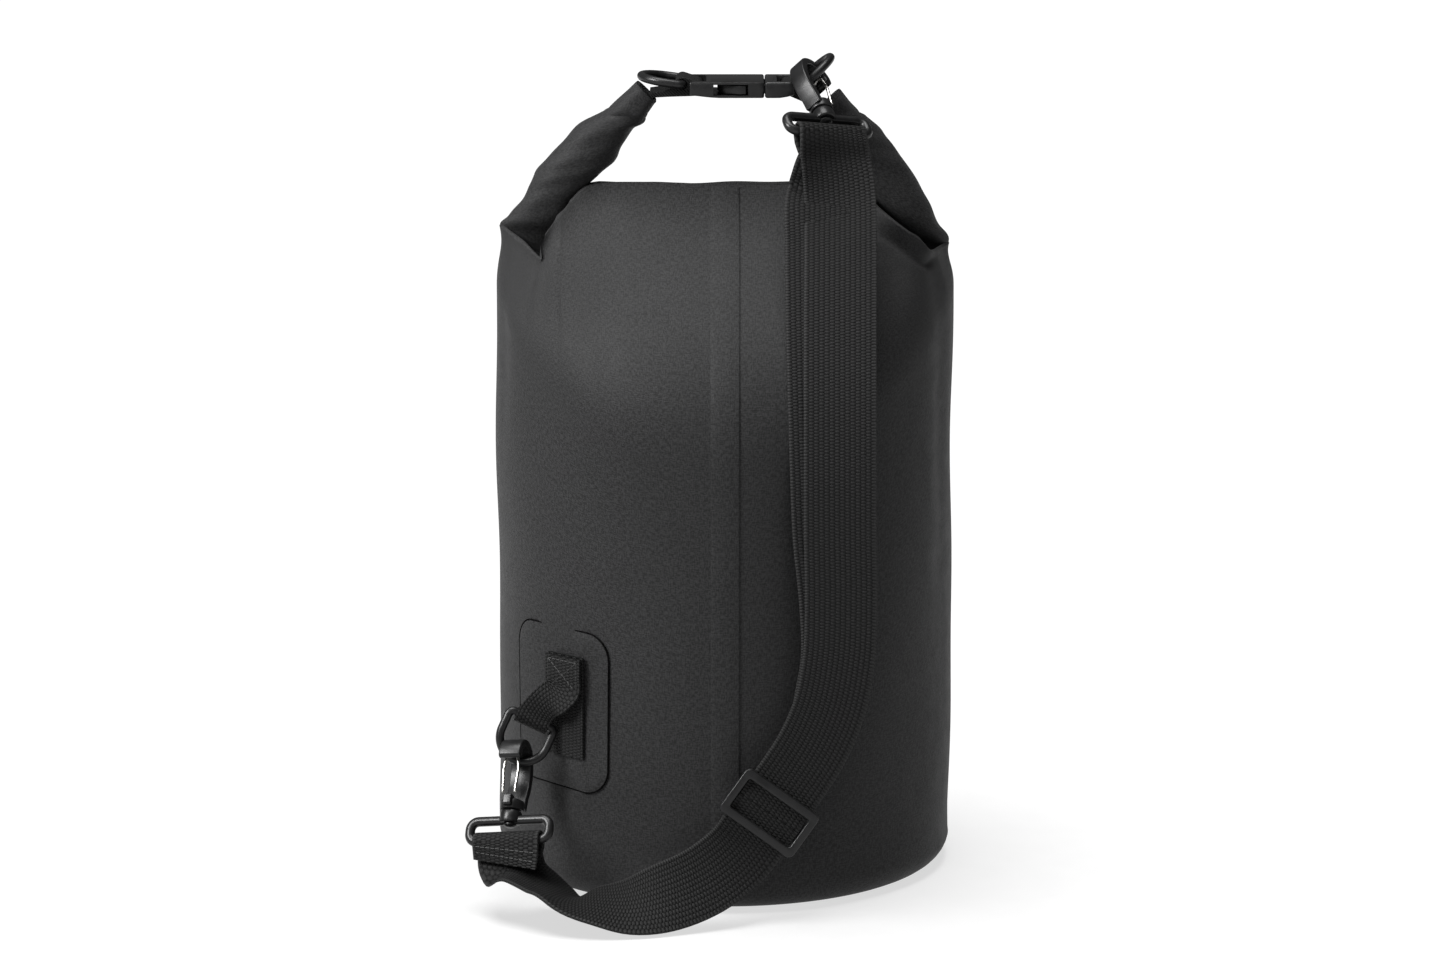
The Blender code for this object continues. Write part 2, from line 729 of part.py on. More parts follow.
def bar_wrap(placement, radius, start, end, steps):
    """Points on a turn of webbing round a loop's lower bar, with the width along the bar."""
    route = []
    across = placement.to_3x3() @ Vector((1, 0, 0))
    for y, z in arc((0, LOOP_BOTTOM), radius, start, end, steps):
        route.append((tuple(placement @ Vector((0, y, z))), tuple(across)))
    return route


def add_strap():
    layer_gap = WEBBING_THICK + 0.0008
    wrap_radius = LOOP_WIRE + GAP + WEBBING_THICK / 2 + 0.0003
    add_ribbon("strap_run", STRAP_ROUTE)
    add_ribbon("strap_return", behind(STRAP_ABOVE[:9], layer_gap))
    front = [
        ((0.0605, -0.0547, 0.3752), (1, 0, 0)),
        ((0.0598, -0.0527, 0.3830), (0.99, 0.12, -0.05)),
        ((0.0584, -0.0507, 0.3920), (0.97, 0.26, -0.10)),
    ]
    add_ribbon(
        "strap_top",
        front + bar_wrap(UPPER_CLIP, wrap_radius, -140, -320, 7) + behind(front[::-1], layer_gap + 0.0012),
    )
    add_ribbon(
        "strap_sewn_end",
        [((-0.1167, -0.1275, 0.0285), (0.87, -0.48, -0.07))]
        + bar_wrap(LOWER_CLIP, wrap_radius, 207, 27, 7)
        + [
            ((-0.1135, -0.1212, 0.0330), (0.88, -0.46, -0.08)),
            ((-0.1122, -0.1238, 0.0272), (0.93, -0.32, -0.12)),
            ((-0.1088, -0.1278, 0.0238), (0.96, 0.10, -0.18)),
            ((-0.1040, -0.1312, 0.0221), (0.85, 0.50, -0.20)),
        ],
    )


def add_slider():
    """The tri-glide: end bars over the strap, its middle bar under it."""
    normal = SLIDER_ALONG.cross(SLIDER_ACROSS)
    if normal.y > 0:
        normal = -normal
    placement = frame_matrix(SLIDER_CENTRE, SLIDER_ACROSS, normal)
    half_w = SLIDER_WIDTH / 2
    half_l = SLIDER_LENGTH / 2
    inner_w = WEBBING / 2 + 0.0006
    clear = WEBBING_THICK / 2 + 0.0006
    thick = SLIDER_BAR_THICK
    slider = add(
        "slider",
        box_mesh((-half_w, -half_l, -clear - thick), (half_w, half_l, clear + thick), 0.0008),
        ACETAL,
        placement,
    )
    middle = 0.0022
    for low, high in ((-half_l + SLIDER_BAR, -middle), (middle, half_l - SLIDER_BAR)):
        window = box_mesh((-inner_w, low, -0.02), (inner_w, high, 0.02))
        boolean(slider, window, "DIFFERENCE", placement)
    passage = box_mesh((-inner_w, -0.03, -clear), (inner_w, 0.03, clear))
    boolean(slider, passage, "DIFFERENCE", placement)
    above = box_mesh((-inner_w, -middle - 0.001, -clear), (inner_w, middle + 0.001, 0.02))
    boolean(slider, above, "DIFFERENCE", placement)
    for side in (-1, 1):
        low, high = sorted((side * (half_l - SLIDER_BAR - 0.0005), side * 0.03))
        below = box_mesh((-inner_w, low, -0.02), (inner_w, high, clear))
        boolean(slider, below, "DIFFERENCE", placement)


# ---------------------------------------------------------------- lower patch and tab


def add_lower_patch():
    surface_sheet("lower_patch", radians(46), 0.069, 0.0605, 0.1465, 0.0008, 0.014, COATED_FABRIC)


def wall_point(turn, stand_off, z):
    return (-(RADIUS + stand_off) * sin(turn), -(RADIUS + stand_off) * cos(turn), z)


def add_lower_tab():
    """The webbing strip sewn down the patch, and the loop sewn on it that holds the lower ring's bar."""
    turn = radians(42)
    tangent = (cos(turn), -sin(turn), 0)
    on_patch = 0.0008 + GAP * 3 + WEBBING_THICK / 2
    strip = [(wall_point(turn, on_patch, z), tangent) for z in (0.1335, 0.1150, 0.0970, 0.0785)]
    add_ribbon("lower_tab", strip, LOWER_TAB_WIDTH)
    on_strip = on_patch + WEBBING_THICK + GAP
    out = Vector((-sin(turn), -cos(turn), 0))
    across = LOWER_RING_ACROSS
    radial = (out - across * out.dot(across)).normalized()
    upwards = across.cross(radial)
    if upwards.z < 0:
        upwards = -upwards
    wrap_radius = WIRE + GAP + WEBBING_THICK / 2 + 0.0004
    wide = LOWER_TAB_WIDTH
    start = (
        (0, 0.0002, 0.1310, 0, wide), (0, 0.0004, 0.1220, 0, wide), (0, 0.0006, 0.1160, 0.02, wide),
        (1, 0.0026, 0.1118, 0.15, 0.0225), (3, 0.0058, 0.1078, 0.6, LOWER_TAB_AT_RING),
    )
    route = []
    for shift, rise, z, blend, width in start:
        side = Vector(tangent) * (1 - blend) + across * blend
        route.append((wall_point(turn + radians(shift), on_strip + rise, z), tuple(side), width))
    for step in range(7):
        angle = radians(60 - 210 * step / 6)
        place = LOWER_RING_BAR + (radial * cos(angle) + upwards * sin(angle)) * wrap_radius
        route.append((tuple(place), tuple(across), LOWER_TAB_AT_RING))
    for inward, rise in ((0.0039, 0.0005), (0.0039, 0.0020)):
        place = LOWER_RING_BAR - radial * inward + upwards * rise
        route.append((tuple(place), tuple(across), LOWER_TAB_AT_RING))
    add_ribbon("lower_ring_loop", route, LOWER_TAB_WIDTH)


def main():
    add_body_tube()
    add_base_panel()
    add_seam_strip()
    add_mouth_roll()
    add_arms()
    add_buckle_socket()
    add_buckle_plug()
    add_prong("prong_near", -1)
    add_prong("prong_far", 1)
    add_tabs()
    add_rings()
    add_clip("upper", UPPER_CLIP, UPPER_TURN)
    add_clip("lower", LOWER_CLIP, LOWER_TURN)
    add_strap()
    add_slider()
    add_lower_patch()
    add_lower_tab()


main()
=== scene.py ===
"""A roll-top dry bag's visual model: coated fabric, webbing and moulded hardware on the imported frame."""

from math import copysign, cos, exp, hypot, pi, radians, sin

import bmesh
import bpy
from mathutils import Matrix, Vector


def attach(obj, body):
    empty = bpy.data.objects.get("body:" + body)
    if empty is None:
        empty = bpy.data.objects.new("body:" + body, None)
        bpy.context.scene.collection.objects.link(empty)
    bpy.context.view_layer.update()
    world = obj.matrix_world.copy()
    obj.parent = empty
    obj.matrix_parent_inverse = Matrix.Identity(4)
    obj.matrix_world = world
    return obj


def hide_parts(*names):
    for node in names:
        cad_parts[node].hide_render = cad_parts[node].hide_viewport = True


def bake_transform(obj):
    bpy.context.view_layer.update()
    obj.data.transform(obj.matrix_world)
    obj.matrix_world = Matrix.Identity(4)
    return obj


UP = Vector((0, 0, 1))

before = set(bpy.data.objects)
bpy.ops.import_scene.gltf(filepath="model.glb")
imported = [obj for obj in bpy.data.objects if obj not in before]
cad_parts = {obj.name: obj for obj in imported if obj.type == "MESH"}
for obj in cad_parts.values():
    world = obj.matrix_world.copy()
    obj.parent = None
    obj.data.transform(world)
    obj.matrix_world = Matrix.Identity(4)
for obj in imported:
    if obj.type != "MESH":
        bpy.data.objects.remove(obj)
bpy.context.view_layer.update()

# Sizes in metres, the same as in the part's source.
RADIUS = 0.123
EDGE_RADIUS = 0.015
WEBBING = 0.038
WEBBING_THICK = 0.0018
TAB_WEBBING = 0.0235
LOWER_TAB_WIDTH = 0.025
LOWER_TAB_AT_RING = 0.0185
WIRE = 0.0023
BUCKLE_Z = 0.4237
SOCKET_LEFT = -0.0188
SOCKET_BAR_X = -0.0152
PLUG_BAR_X = 0.0338
RING_HALF_WIDTH = 0.0145
RING_DEPTH = 0.0222
LEFT_RING_BAR = Vector((-0.0226, 0, 0.4262))
RIGHT_RING_BAR = Vector((0.04, 0, 0.4243))
RIGHT_RING_TILT = radians(42)
LOWER_RING_BAR = Vector((-0.102, -0.0913, 0.0979))
LOWER_RING_HALF_WIDTH = 0.013
LOWER_RING_DEPTH = 0.0237
LOOP_HALF_WIDTH = 0.0228
LOOP_TOP = -0.0042
LOOP_BOTTOM = -0.0155
LOOP_WIRE = 0.0026
UPPER_HOOK_BROAD = 0.0098
LOWER_HOOK_BROAD = 0.012
HOOK_THICK = 0.0042
GATE_PIVOT = Vector((0.0072, 0, 0.0098))
GATE_TOP = Vector((0.0074, 0, 0.0312))
POST_RADIUS = 0.002
SLIDER_WIDTH = 0.047
SLIDER_LENGTH = 0.0275
GAP = 0.0003


# ---- materials


class Nodes:
    """Short calls for building a node material."""

    def __init__(self, name):
        self.material = bpy.data.materials.new(name)
        self.material.use_nodes = True
        self.tree = self.material.node_tree
        self.surface = self.tree.nodes["Principled BSDF"]

    def make(self, kind, values=None, links=None, **settings):
        node = self.tree.nodes.new(kind)
        for key, value in settings.items():
            setattr(node, key, value)
        for key, value in (values or {}).items():
            node.inputs[key].default_value = value
        for key, socket in (links or {}).items():
            self.tree.links.new(socket, node.inputs[key])
        return node

    def math(self, operation, first, second=0.0, third=0.0):
        node = self.tree.nodes.new("ShaderNodeMath")
        node.operation = operation
        for i, value in enumerate((first, second, third)):
            if isinstance(value, (int, float)):
                node.inputs[i].default_value = value
            else:
                self.tree.links.new(value, node.inputs[i])
        return node.outputs[0]

    def noise(self, vector, scale, detail=2.0, roughness=0.5):
        values = {"Scale": scale, "Detail": detail, "Roughness": roughness}
        return self.make("ShaderNodeTexNoise", values, {"Vector": vector}).outputs["Fac"]

    def stretch(self, vector, scale):
        node = self.make("ShaderNodeMapping", {"Scale": scale}, {"Vector": vector})
        return node.outputs["Vector"]

    def ramp(self, value, low, high, dark, light):
        """A value between low and high, turned into a shade between dark and light."""
        node = self.make(
            "ShaderNodeMapRange",
            {"From Min": low, "From Max": high, "To Min": dark, "To Max": light},
            {"Value": value},
        )
        return node.outputs["Result"]

    def grey(self, shade, tint=(1.0, 1.0, 1.0)):
        node = self.make("ShaderNodeCombineColor")
        for i, part in enumerate(tint):
            self.tree.links.new(self.math("MULTIPLY", shade, part), node.inputs[i])
        return node.outputs["Color"]

    def finish(self, colour, roughness, height, distance, strength=1.0, **values):
        links = self.tree.links
        links.new(colour, self.surface.inputs["Base Color"])
        if isinstance(roughness, float):
            self.surface.inputs["Roughness"].default_value = roughness
        else:
            links.new(roughness, self.surface.inputs["Roughness"])
        bump = self.make("ShaderNodeBump", {"Strength": strength, "Distance": distance}, {"Height": height})
        links.new(bump.outputs["Normal"], self.surface.inputs["Normal"])
        for key, value in values.items():
            self.surface.inputs[key.replace("_", " ")].default_value = value
        return self.material


def coated_fabric():
    """Charcoal fabric with a matt coating: threads both ways, mottled, with a faint sheen."""
    n = Nodes("coated_fabric")
    place = n.make("ShaderNodeUVMap", uv_map="cloth").outputs["UV"]
    warp = n.noise(n.stretch(place, (1500, 420, 1)), 1.0, 2.0, 0.6)
    weft = n.noise(n.stretch(place, (420, 1500, 1)), 1.0, 2.0, 0.6)
    threads = n.math("ADD", warp, weft)
    broad = n.noise(place, 14.0, 3.0)
    scuffs = n.noise(place, 90.0, 4.0, 0.7)
    shade = n.ramp(threads, 0.86, 1.14, 0.0095, 0.0235)
    shade = n.math("MULTIPLY", shade, n.ramp(broad, 0.3, 0.7, 0.93, 1.07))
    shade = n.math("MULTIPLY", shade, n.ramp(scuffs, 0.35, 0.7, 0.95, 1.06))
    roughness = n.ramp(scuffs, 0.3, 0.7, 0.56, 0.68)
    return n.finish(
        n.grey(shade, (1.0, 1.0, 1.02)), roughness, threads, 0.00022, 0.8,
        Sheen_Weight=0.02, Sheen_Roughness=0.5, Specular_IOR_Level=0.14,
    )


def webbing():
    """Black polyester webbing: ribs across it in brick order, on narrow columns."""
    n = Nodes("webbing")
    place = n.make("ShaderNodeUVMap", uv_map="cloth").outputs["UV"]
    split = n.make("ShaderNodeSeparateXYZ", links={"Vector": place})
    across, along = split.outputs["X"], split.outputs["Y"]
    wander = n.math("MULTIPLY", n.noise(place, 160.0), 0.0006)
    column = n.math("DIVIDE", across, 0.00271)
    half_number = n.math("MULTIPLY", n.math("FLOOR", column), 0.5)
    odd = n.math("MULTIPLY", n.math("ROUND", n.math("FRACT", half_number)), 0.5)
    columns = n.math("ABSOLUTE", n.math("SINE", n.math("MULTIPLY", column, pi)))
    turns = n.math("ADD", n.math("DIVIDE", n.math("ADD", along, wander), 0.0017), odd)
    ribs = n.math("ABSOLUTE", n.math("SINE", n.math("MULTIPLY", turns, pi)))
    height = n.math("ADD", n.math("MULTIPLY", columns, 0.5), n.math("MULTIPLY", ribs, 0.8))
    fibres = n.noise(n.stretch(place, (5200, 1500, 1)), 1.0, 2.0)
    height = n.math("ADD", height, n.math("MULTIPLY", fibres, 0.35))
    # The ribs and columns are real relief. The tone that follows them is painted light and shade: lighter on
    # the ribs' tops, darker in the hollows between them.
    shade = n.ramp(height, 0.45, 1.5, 0.0008, 0.0125)
    edge = n.ramp(n.math("ABSOLUTE", across), 0.0174, 0.0184, 0.0, 0.011)
    shade = n.math("ADD", shade, edge)
    roughness = n.ramp(fibres, 0.3, 0.7, 0.5, 0.66)
    return n.finish(
        n.grey(shade), roughness, height, 0.00045, 1.0,
        Sheen_Weight=0.005, Sheen_Roughness=0.4, Specular_IOR_Level=0.12,
    )


def acetal():
    """Black moulded acetal: satin, very slightly uneven, with dusty scuffs."""
    n = Nodes("acetal")
    place = n.make("ShaderNodeTexCoord").outputs["Object"]
    grain = n.noise(place, 2600.0, 2.0, 0.6)
    flow = n.noise(place, 120.0, 3.0)
    shade = n.ramp(flow, 0.3, 0.75, 0.005, 0.009)
    mixed = n.math("ADD", n.math("MULTIPLY", grain, 0.4), n.math("MULTIPLY", flow, 0.6))
    roughness = n.ramp(mixed, 0.3, 0.7, 0.27, 0.42)
    height = n.math("ADD", n.math("MULTIPLY", grain, 0.5), flow)
    return n.finish(n.grey(shade, (1.0, 1.0, 1.03)), roughness, height, 0.0001, 0.5, Specular_IOR_Level=0.3)


def steel_wire():
    n = Nodes("steel_wire")
    place = n.make("ShaderNodeTexCoord").outputs["Object"]
    drawn = n.noise(n.stretch(place, (900, 900, 120)), 1.0, 2.0)
    shade = n.grey(n.ramp(drawn, 0.3, 0.7, 0.52, 0.66), (1.0, 0.98, 0.94))
    return n.finish(shade, n.ramp(drawn, 0.3, 0.7, 0.16, 0.3), drawn, 0.00004, 0.4, Metallic=1.0)


def speckled(name, scale, detail, dark, light, roughness, strength, **values):
    """A plain material, mottled by one noise."""
    n = Nodes(name)
    place = n.make("ShaderNodeTexCoord").outputs["Object"]
    fleck = n.noise(place, scale, detail)
    shade = n.grey(n.ramp(fleck, 0.3, 0.7, dark, light))
    return n.finish(shade, roughness, fleck, 0.0001, strength, **values)


FABRIC = coated_fabric()
WOVEN = webbing()
ACETAL = acetal()
STEEL = steel_wire()
THREAD = speckled("thread", 3000.0, 2.0, 0.012, 0.028, 0.55, 0.5, Specular_IOR_Level=0.4)
# A near-black hairline round the welded patch: painted shade of the groove at the patch's edge.
PAINTED_EDGE_SHADE = speckled("weld_line", 400.0, 3.0, 0.001, 0.004, 0.9, 0.3, Specular_IOR_Level=0.02)


# ---- making pieces


def placed(name, data):
    obj = bpy.data.objects.new(name, data)
    bpy.context.scene.collection.objects.link(obj)
    return obj


def piece(name, mesh, material, body, nodes=(), slot=None, sharp=40):
    """A visual piece that rides on a body, or on none, and stands for the nodes given."""
    obj = placed(name, mesh)
    mesh.materials.clear()
    mesh.materials.append(material)
    mesh.shade_smooth()
    mesh.set_sharp_from_angle(angle=radians(sharp))
    if body:
        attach(obj, body)
    if nodes:
        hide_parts(*nodes)
    # Blender numbers a material whose name the frame already uses.
    slot or material.name.split(".")[0]
    return obj


def plain_uvs(row, column):
    return column * 0.001, row * 0.001


def grid_mesh(rows, uvs=plain_uvs, closed=False, caps=()):
    """Quads between rows of points, with the first (0) or last (-1) row capped. The uvs are in metres."""
    bm = bmesh.new()
    layer = bm.loops.layers.uv.new("cloth")
    verts = [[bm.verts.new(point) for point in row] for row in rows]
    count = len(rows[0])
    for i in range(len(rows) - 1):
        for j in range(count if closed else count - 1):
            k = (j + 1) % count
            face = bm.faces.new((verts[i][j], verts[i][k], verts[i + 1][k], verts[i + 1][j]))
            corners = ((i, j), (i, j + 1), (i + 1, j + 1), (i + 1, j))
            for loop, (a, b) in zip(face.loops, corners):
                loop[layer].uv = uvs(a, b)
    if 0 in caps:
        bm.faces.new(verts[0][::-1])
    if -1 in caps:
        bm.faces.new(verts[-1])
    mesh = bpy.data.meshes.new("grid")
    bmesh.ops.recalc_face_normals(bm, faces=bm.faces)
    bm.to_mesh(mesh)
    bm.free()
    return mesh


def cleaned(mesh, merge):
    """Makes points this near one, and turns the faces outwards."""
    bm = bmesh.new()
    bm.from_mesh(mesh)
    bmesh.ops.remove_doubles(bm, verts=bm.verts, dist=merge)
    bmesh.ops.recalc_face_normals(bm, faces=bm.faces)
    bm.to_mesh(mesh)
    bm.free()
    return mesh


def hermite(start, leaving, end, arriving, t):
    """A point of the cubic between two places with these slopes at its ends."""
    head = start * (2 * t**3 - 3 * t**2 + 1) + leaving * (t**3 - 2 * t**2 + t)
    return head + end * (3 * t**2 - 2 * t**3) + arriving * (t**3 - t**2)


def smooth_route(points, per_span, lengths=None):
    """A smooth curve through vectors of any length. The lengths are the spans' own unless they are given."""
    if lengths is None:
        lengths = [(after - before).length for before, after in zip(points, points[1:])]
    rates = [(points[i + 1] - points[i]) / lengths[i] for i in range(len(lengths))]
    slopes = [rates[0]]
    for i in range(1, len(rates)):
        both = lengths[i - 1] + lengths[i]
        slopes.append((rates[i - 1] * lengths[i] + rates[i] * lengths[i - 1]) / both)
    slopes.append(rates[-1])
    route = []
    for i, length in enumerate(lengths):
        leaving, arriving = slopes[i] * length, slopes[i + 1] * length
        for step in range(per_span):
            route.append(hermite(points[i], leaving, points[i + 1], arriving, step / per_span))
    route.append(points[-1].copy())
    return route


def arc(centre, radius, start, end, steps):
    points = []
    for step in range(steps + 1):
        angle = radians(start + (end - start) * step / steps)
        points.append((centre[0] + radius * cos(angle), centre[1] + radius * sin(angle)))
    return points


def frame_matrix(origin, x_axis, z_axis):
    """A placement whose Z is z_axis, and whose X lies as near x_axis as a right angle allows."""
    z_axis = Vector(z_axis).normalized()
    x_axis = Vector(x_axis)
    x_axis = (x_axis - z_axis * x_axis.dot(z_axis)).normalized()
    y_axis = z_axis.cross(x_axis)
    matrix = Matrix((x_axis, y_axis, z_axis)).transposed().to_4x4()
    matrix.translation = Vector(origin)
    return matrix


def tube_mesh(points, radius, closed=False, sides=16):
    """A round bar along points, with rounded ends where it is open."""
    count = len(points)
    rings = []
    side = None
    for i, place in enumerate(points):
        before = points[i - 1] if closed or i else points[0]
        after = points[(i + 1) % count] if closed or i < count - 1 else points[-1]
        along = (after - before).normalized()
        if side is None:
            side = along.orthogonal().normalized()
        side = (side - along * side.dot(along)).normalized()
        other = along.cross(side)
        angles = [2 * pi * k / sides for k in range(sides)]
        rings.append([place + (side * cos(a) + other * sin(a)) * radius for a in angles])
    if not closed:
        for end, step in ((0, 1), (-1, -1)):
            place = points[end]
            out = (place - points[end + step]).normalized()
            caps = []
            for turn in (30, 60, 84):
                small, high = cos(radians(turn)), sin(radians(turn)) * radius
                caps.append([place + (p - place) * small + out * high for p in rings[end]])
            rings = caps[::-1] + rings if end == 0 else rings + caps
        return grid_mesh(rings, closed=True, caps=(0, -1))
    # The last ring is turned to meet the first one.
    first = rings[0]
    shift = min(range(sides), key=lambda k: (rings[-1][k] - first[0]).length)
    rings.append([first[(k - shift) % sides] for k in range(sides)])
    return cleaned(grid_mesh(rings, closed=True), 1e-6)


def plate_mesh(loops, half_thickness, round_by, matrix):
    """A flat outline with holes, thick, with rounded edges."""
    curve = bpy.data.curves.new("plate", "CURVE")
    curve.dimensions = "2D"
    curve.fill_mode = "BOTH"
    curve.extrude = half_thickness - round_by
    curve.bevel_depth = round_by
    curve.bevel_resolution = 3
    curve.offset = -round_by
    for loop in loops:
        spline = curve.splines.new("POLY")
        spline.points.add(len(loop) - 1)
        for point, place in zip(spline.points, loop):
            point.co = (place[0], place[1], 0.0, 1.0)
        spline.use_cyclic_u = True
    helper = placed("helper", curve)
    graph = bpy.context.evaluated_depsgraph_get()
    mesh = bpy.data.meshes.new_from_object(helper.evaluated_get(graph))
    bpy.data.objects.remove(helper, do_unlink=True)
    mesh.transform(matrix)
    return cleaned(mesh, 2e-6)


def turned_mesh(profile, matrix, steps=40):
    """A turned shape about Z from its (radius, height) profile, closed at both ends on the axis."""
    turns = [2 * pi * k / steps for k in range(steps)]
    rows = [[Vector((r * cos(turn), r * sin(turn), z)) for turn in turns] for r, z in profile]
    mesh = grid_mesh(rows, closed=True, caps=(0, -1))
    mesh.transform(matrix)
    return mesh


def join_meshes(meshes):
    bm = bmesh.new()
    for mesh in meshes:
        bm.from_mesh(mesh)
    joined = bpy.data.meshes.new("joined")
    bm.to_mesh(joined)
    bm.free()
    return joined


# ---- bag body

# The bag's rim: (angle from the near side, place in millimetres). The fabric turns in there, over the roll
# and into the two ears.
LEFT_NEAR = [
    (0, (0, -9.8, 370.8)), (12, (-26, -9.8, 372)), (24, (-53, -9.8, 372.4)),
    (31, (-68, -10.3, 371.6)), (35, (-75.2, -11.8, 369.4)), (39, (-81.2, -14.2, 364.2)),
    (45, (-87.8, -18.5, 356.9)), (50, (-93.5, -23, 349.8)), (56, (-98.2, -28.5, 342.1)),
    (61, (-97.5, -32.5, 335.2)), (66, (-101.8, -28.5, 337.1)), (73, (-108.4, -19, 341.1)),
    (82, (-116.5, -8.5, 345.3)), (90, (-121.2, 0, 348.2)),
]
RIGHT_NEAR = [
    (0, (0, -9.8, 370.8)), (12, (26, -9.8, 370.6)), (24, (53, -9.8, 370.6)),
    (31, (69, -11, 369.4)), (36, (75.5, -15, 366.2)), (42, (80.3, -22.5, 361)),
    (48, (87.2, -30.5, 356.2)), (54, (95.3, -37, 351.5)), (61, (104, -39, 346.2)),
    (68, (109.2, -36, 340.5)), (75, (112.8, -25.5, 338)), (83, (116.8, -11, 337.8)),
    (90, (120.8, 0, 338.8)),
]


def far_side(near):
    """The rim on the far side: lower along the middle, where the roll shows above it."""
    points = []
    for angle, (x, y, z) in near:
        drop = 21.5 * max(0.0, 1 - (max(angle - 20, 0) / 32) ** 2)
        points.append((180 - angle, (x, -y * (1.02 if angle > 31 else 1.05), z - drop)))
    return points[::-1]


def rim_table():
    """The whole rim in order of angle, from the near side round by the right, back and left."""
    right = RIGHT_NEAR + far_side(RIGHT_NEAR)[1:]
    left = LEFT_NEAR + far_side(LEFT_NEAR)[1:]
    table = right + [(360 - angle, place) for angle, place in left[::-1][1:]]
    return [(angle, Vector(place) / 1000) for angle, place in table]


RIM = rim_table()


def rim_at(angle):
    """The rim's place at an angle in degrees, smoothed between the table's points."""
    angle %= 360
    for i in range(len(RIM) - 1):
        low, high = RIM[i][0], RIM[i + 1][0]
        if low <= angle <= high:
            break

    def slope(k):
        before = RIM[k - 1] if k else RIM[-2]
        after = RIM[k + 1] if k < len(RIM) - 1 else RIM[1]
        return (after[1] - before[1]) / ((after[0] - before[0]) % 360)

    width = high - low
    return hermite(RIM[i][1], slope(i) * width, RIM[i + 1][1], slope(i + 1) * width, (angle - low) / width)


def sampled(function, count):
    """The function of an angle in degrees, looked up between even samples."""
    table = [function(step * 360 / count) for step in range(count)]

    def look_up(angle):
        place = (angle % 360) * count / 360
        k = int(place)
        return table[k % count].lerp(table[(k + 1) % count], place - k)

    return look_up


def eased_rim(angle):
    """The rim with its corners eased, which the fabric below it follows."""
    turns = (-12, -8, -4, 0, 4, 8, 12)
    return sum((rim_at(angle + turn) for turn in turns), Vector()) / len(turns)


eased_at = sampled(eased_rim, 288)


def bell(value, centre, width):
    return exp(-(((value - centre) / width) ** 2))


def turn_gap(a, b):
    return (a - b + 180) % 360 - 180


def outward(angle):
    """The level direction out of the bag at an angle in degrees."""
    return Vector((sin(radians(angle)), -cos(radians(angle)), 0))


# Dents in the wall, and one swell: depth, angle, its half width in degrees, height, its half width.
DENTS = (
    (0.0022, -45, 3.2, 0.07, 0.04), (-0.0008, -38, 4.0, 0.075, 0.045), (0.0012, 24, 6.0, 0.2, 0.05),
    (0.0014, 70, 5.0, 0.25, 0.09), (0.0012, -74, 5.0, 0.29, 0.05), (0.0015, 150, 6.0, 0.24, 0.07),
    (0.0013, 205, 6.0, 0.27, 0.06),
)


def ripple(angle, z):
    """How far the fabric stands out from its even shape, in metres."""
    a = radians(angle)
    out = 0.0007 * sin(3 * a + 40 * z) * sin(17 * z + 1.0) + 0.0004 * sin(7 * a - 30 * z + 0.6)
    for depth, at, wide, middle, tall in DENTS:
        out -= depth * bell(turn_gap(angle, at), 0, wide) * bell(z, middle, tall)
    return out * min(1.0, z / 0.03)


def crease_depth(place):
    """The soft second crease under the right ear, near side."""
    if place.y > 0 or place.x < 0.05:
        return 0.0
    line = [(0.079, 0.352), (0.092, 0.3455), (0.1005, 0.3395), (0.109, 0.3345)]
    best = 1.0
    for (x0, z0), (x1, z1) in zip(line, line[1:]):
        dx, dz = x1 - x0, z1 - z0
        t = max(0.0, min(1.0, ((place.x - x0) * dx + (place.z - z0) * dz) / (dx * dx + dz * dz)))
        best = min(best, hypot(place.x - x0 - t * dx, place.z - z0 - t * dz))
    return 0.003 * exp(-((best / 0.003) ** 2))


def ear_weight(angle):
    """How much the fabric at an angle belongs to an ear: 0 in the middle, most by the fold."""
    nearest = min(abs(turn_gap(angle, 0)), abs(turn_gap(angle, 180)))
    rise = min(1.0, max(0.0, (nearest - 22) / 26))
    fall = min(1.0, max(0.0, (nearest - 64) / 24))
    corner = min(1.0, abs(nearest - 61) / 15)
    return rise * rise * (3 - 2 * rise) * (1 - 0.72 * fall * fall * (3 - 2 * fall)) * corner * corner


def pocket_direction(angle):
    """The level direction from the rim into the pocket that the rim goes round."""
    total = Vector()
    for turn in (-9, -6, -3, 0, 3, 6, 9):
        along = eased_at(angle + turn + 2) - eased_at(angle + turn - 2)
        inward = Vector((-along.y, along.x, 0)).normalized()
        place = eased_at(angle + turn)
        total += inward if inward.dot(Vector((-place.x * 0.35, -place.y, 0))) > 0 else -inward
    return total.normalized()


look_up_pocket = sampled(pocket_direction, 180)


def pocket_at(angle):
    return look_up_pocket(angle).normalized()


def lean_at(angle):
    """The slope in radians at which the fabric reaches the rim: upright in the middle, leaning in at ears."""
    return radians(90 - 30 * ear_weight(angle))


def arrival(angle):
    lean = lean_at(angle)
    return pocket_at(angle) * cos(lean) + UP * sin(lean)


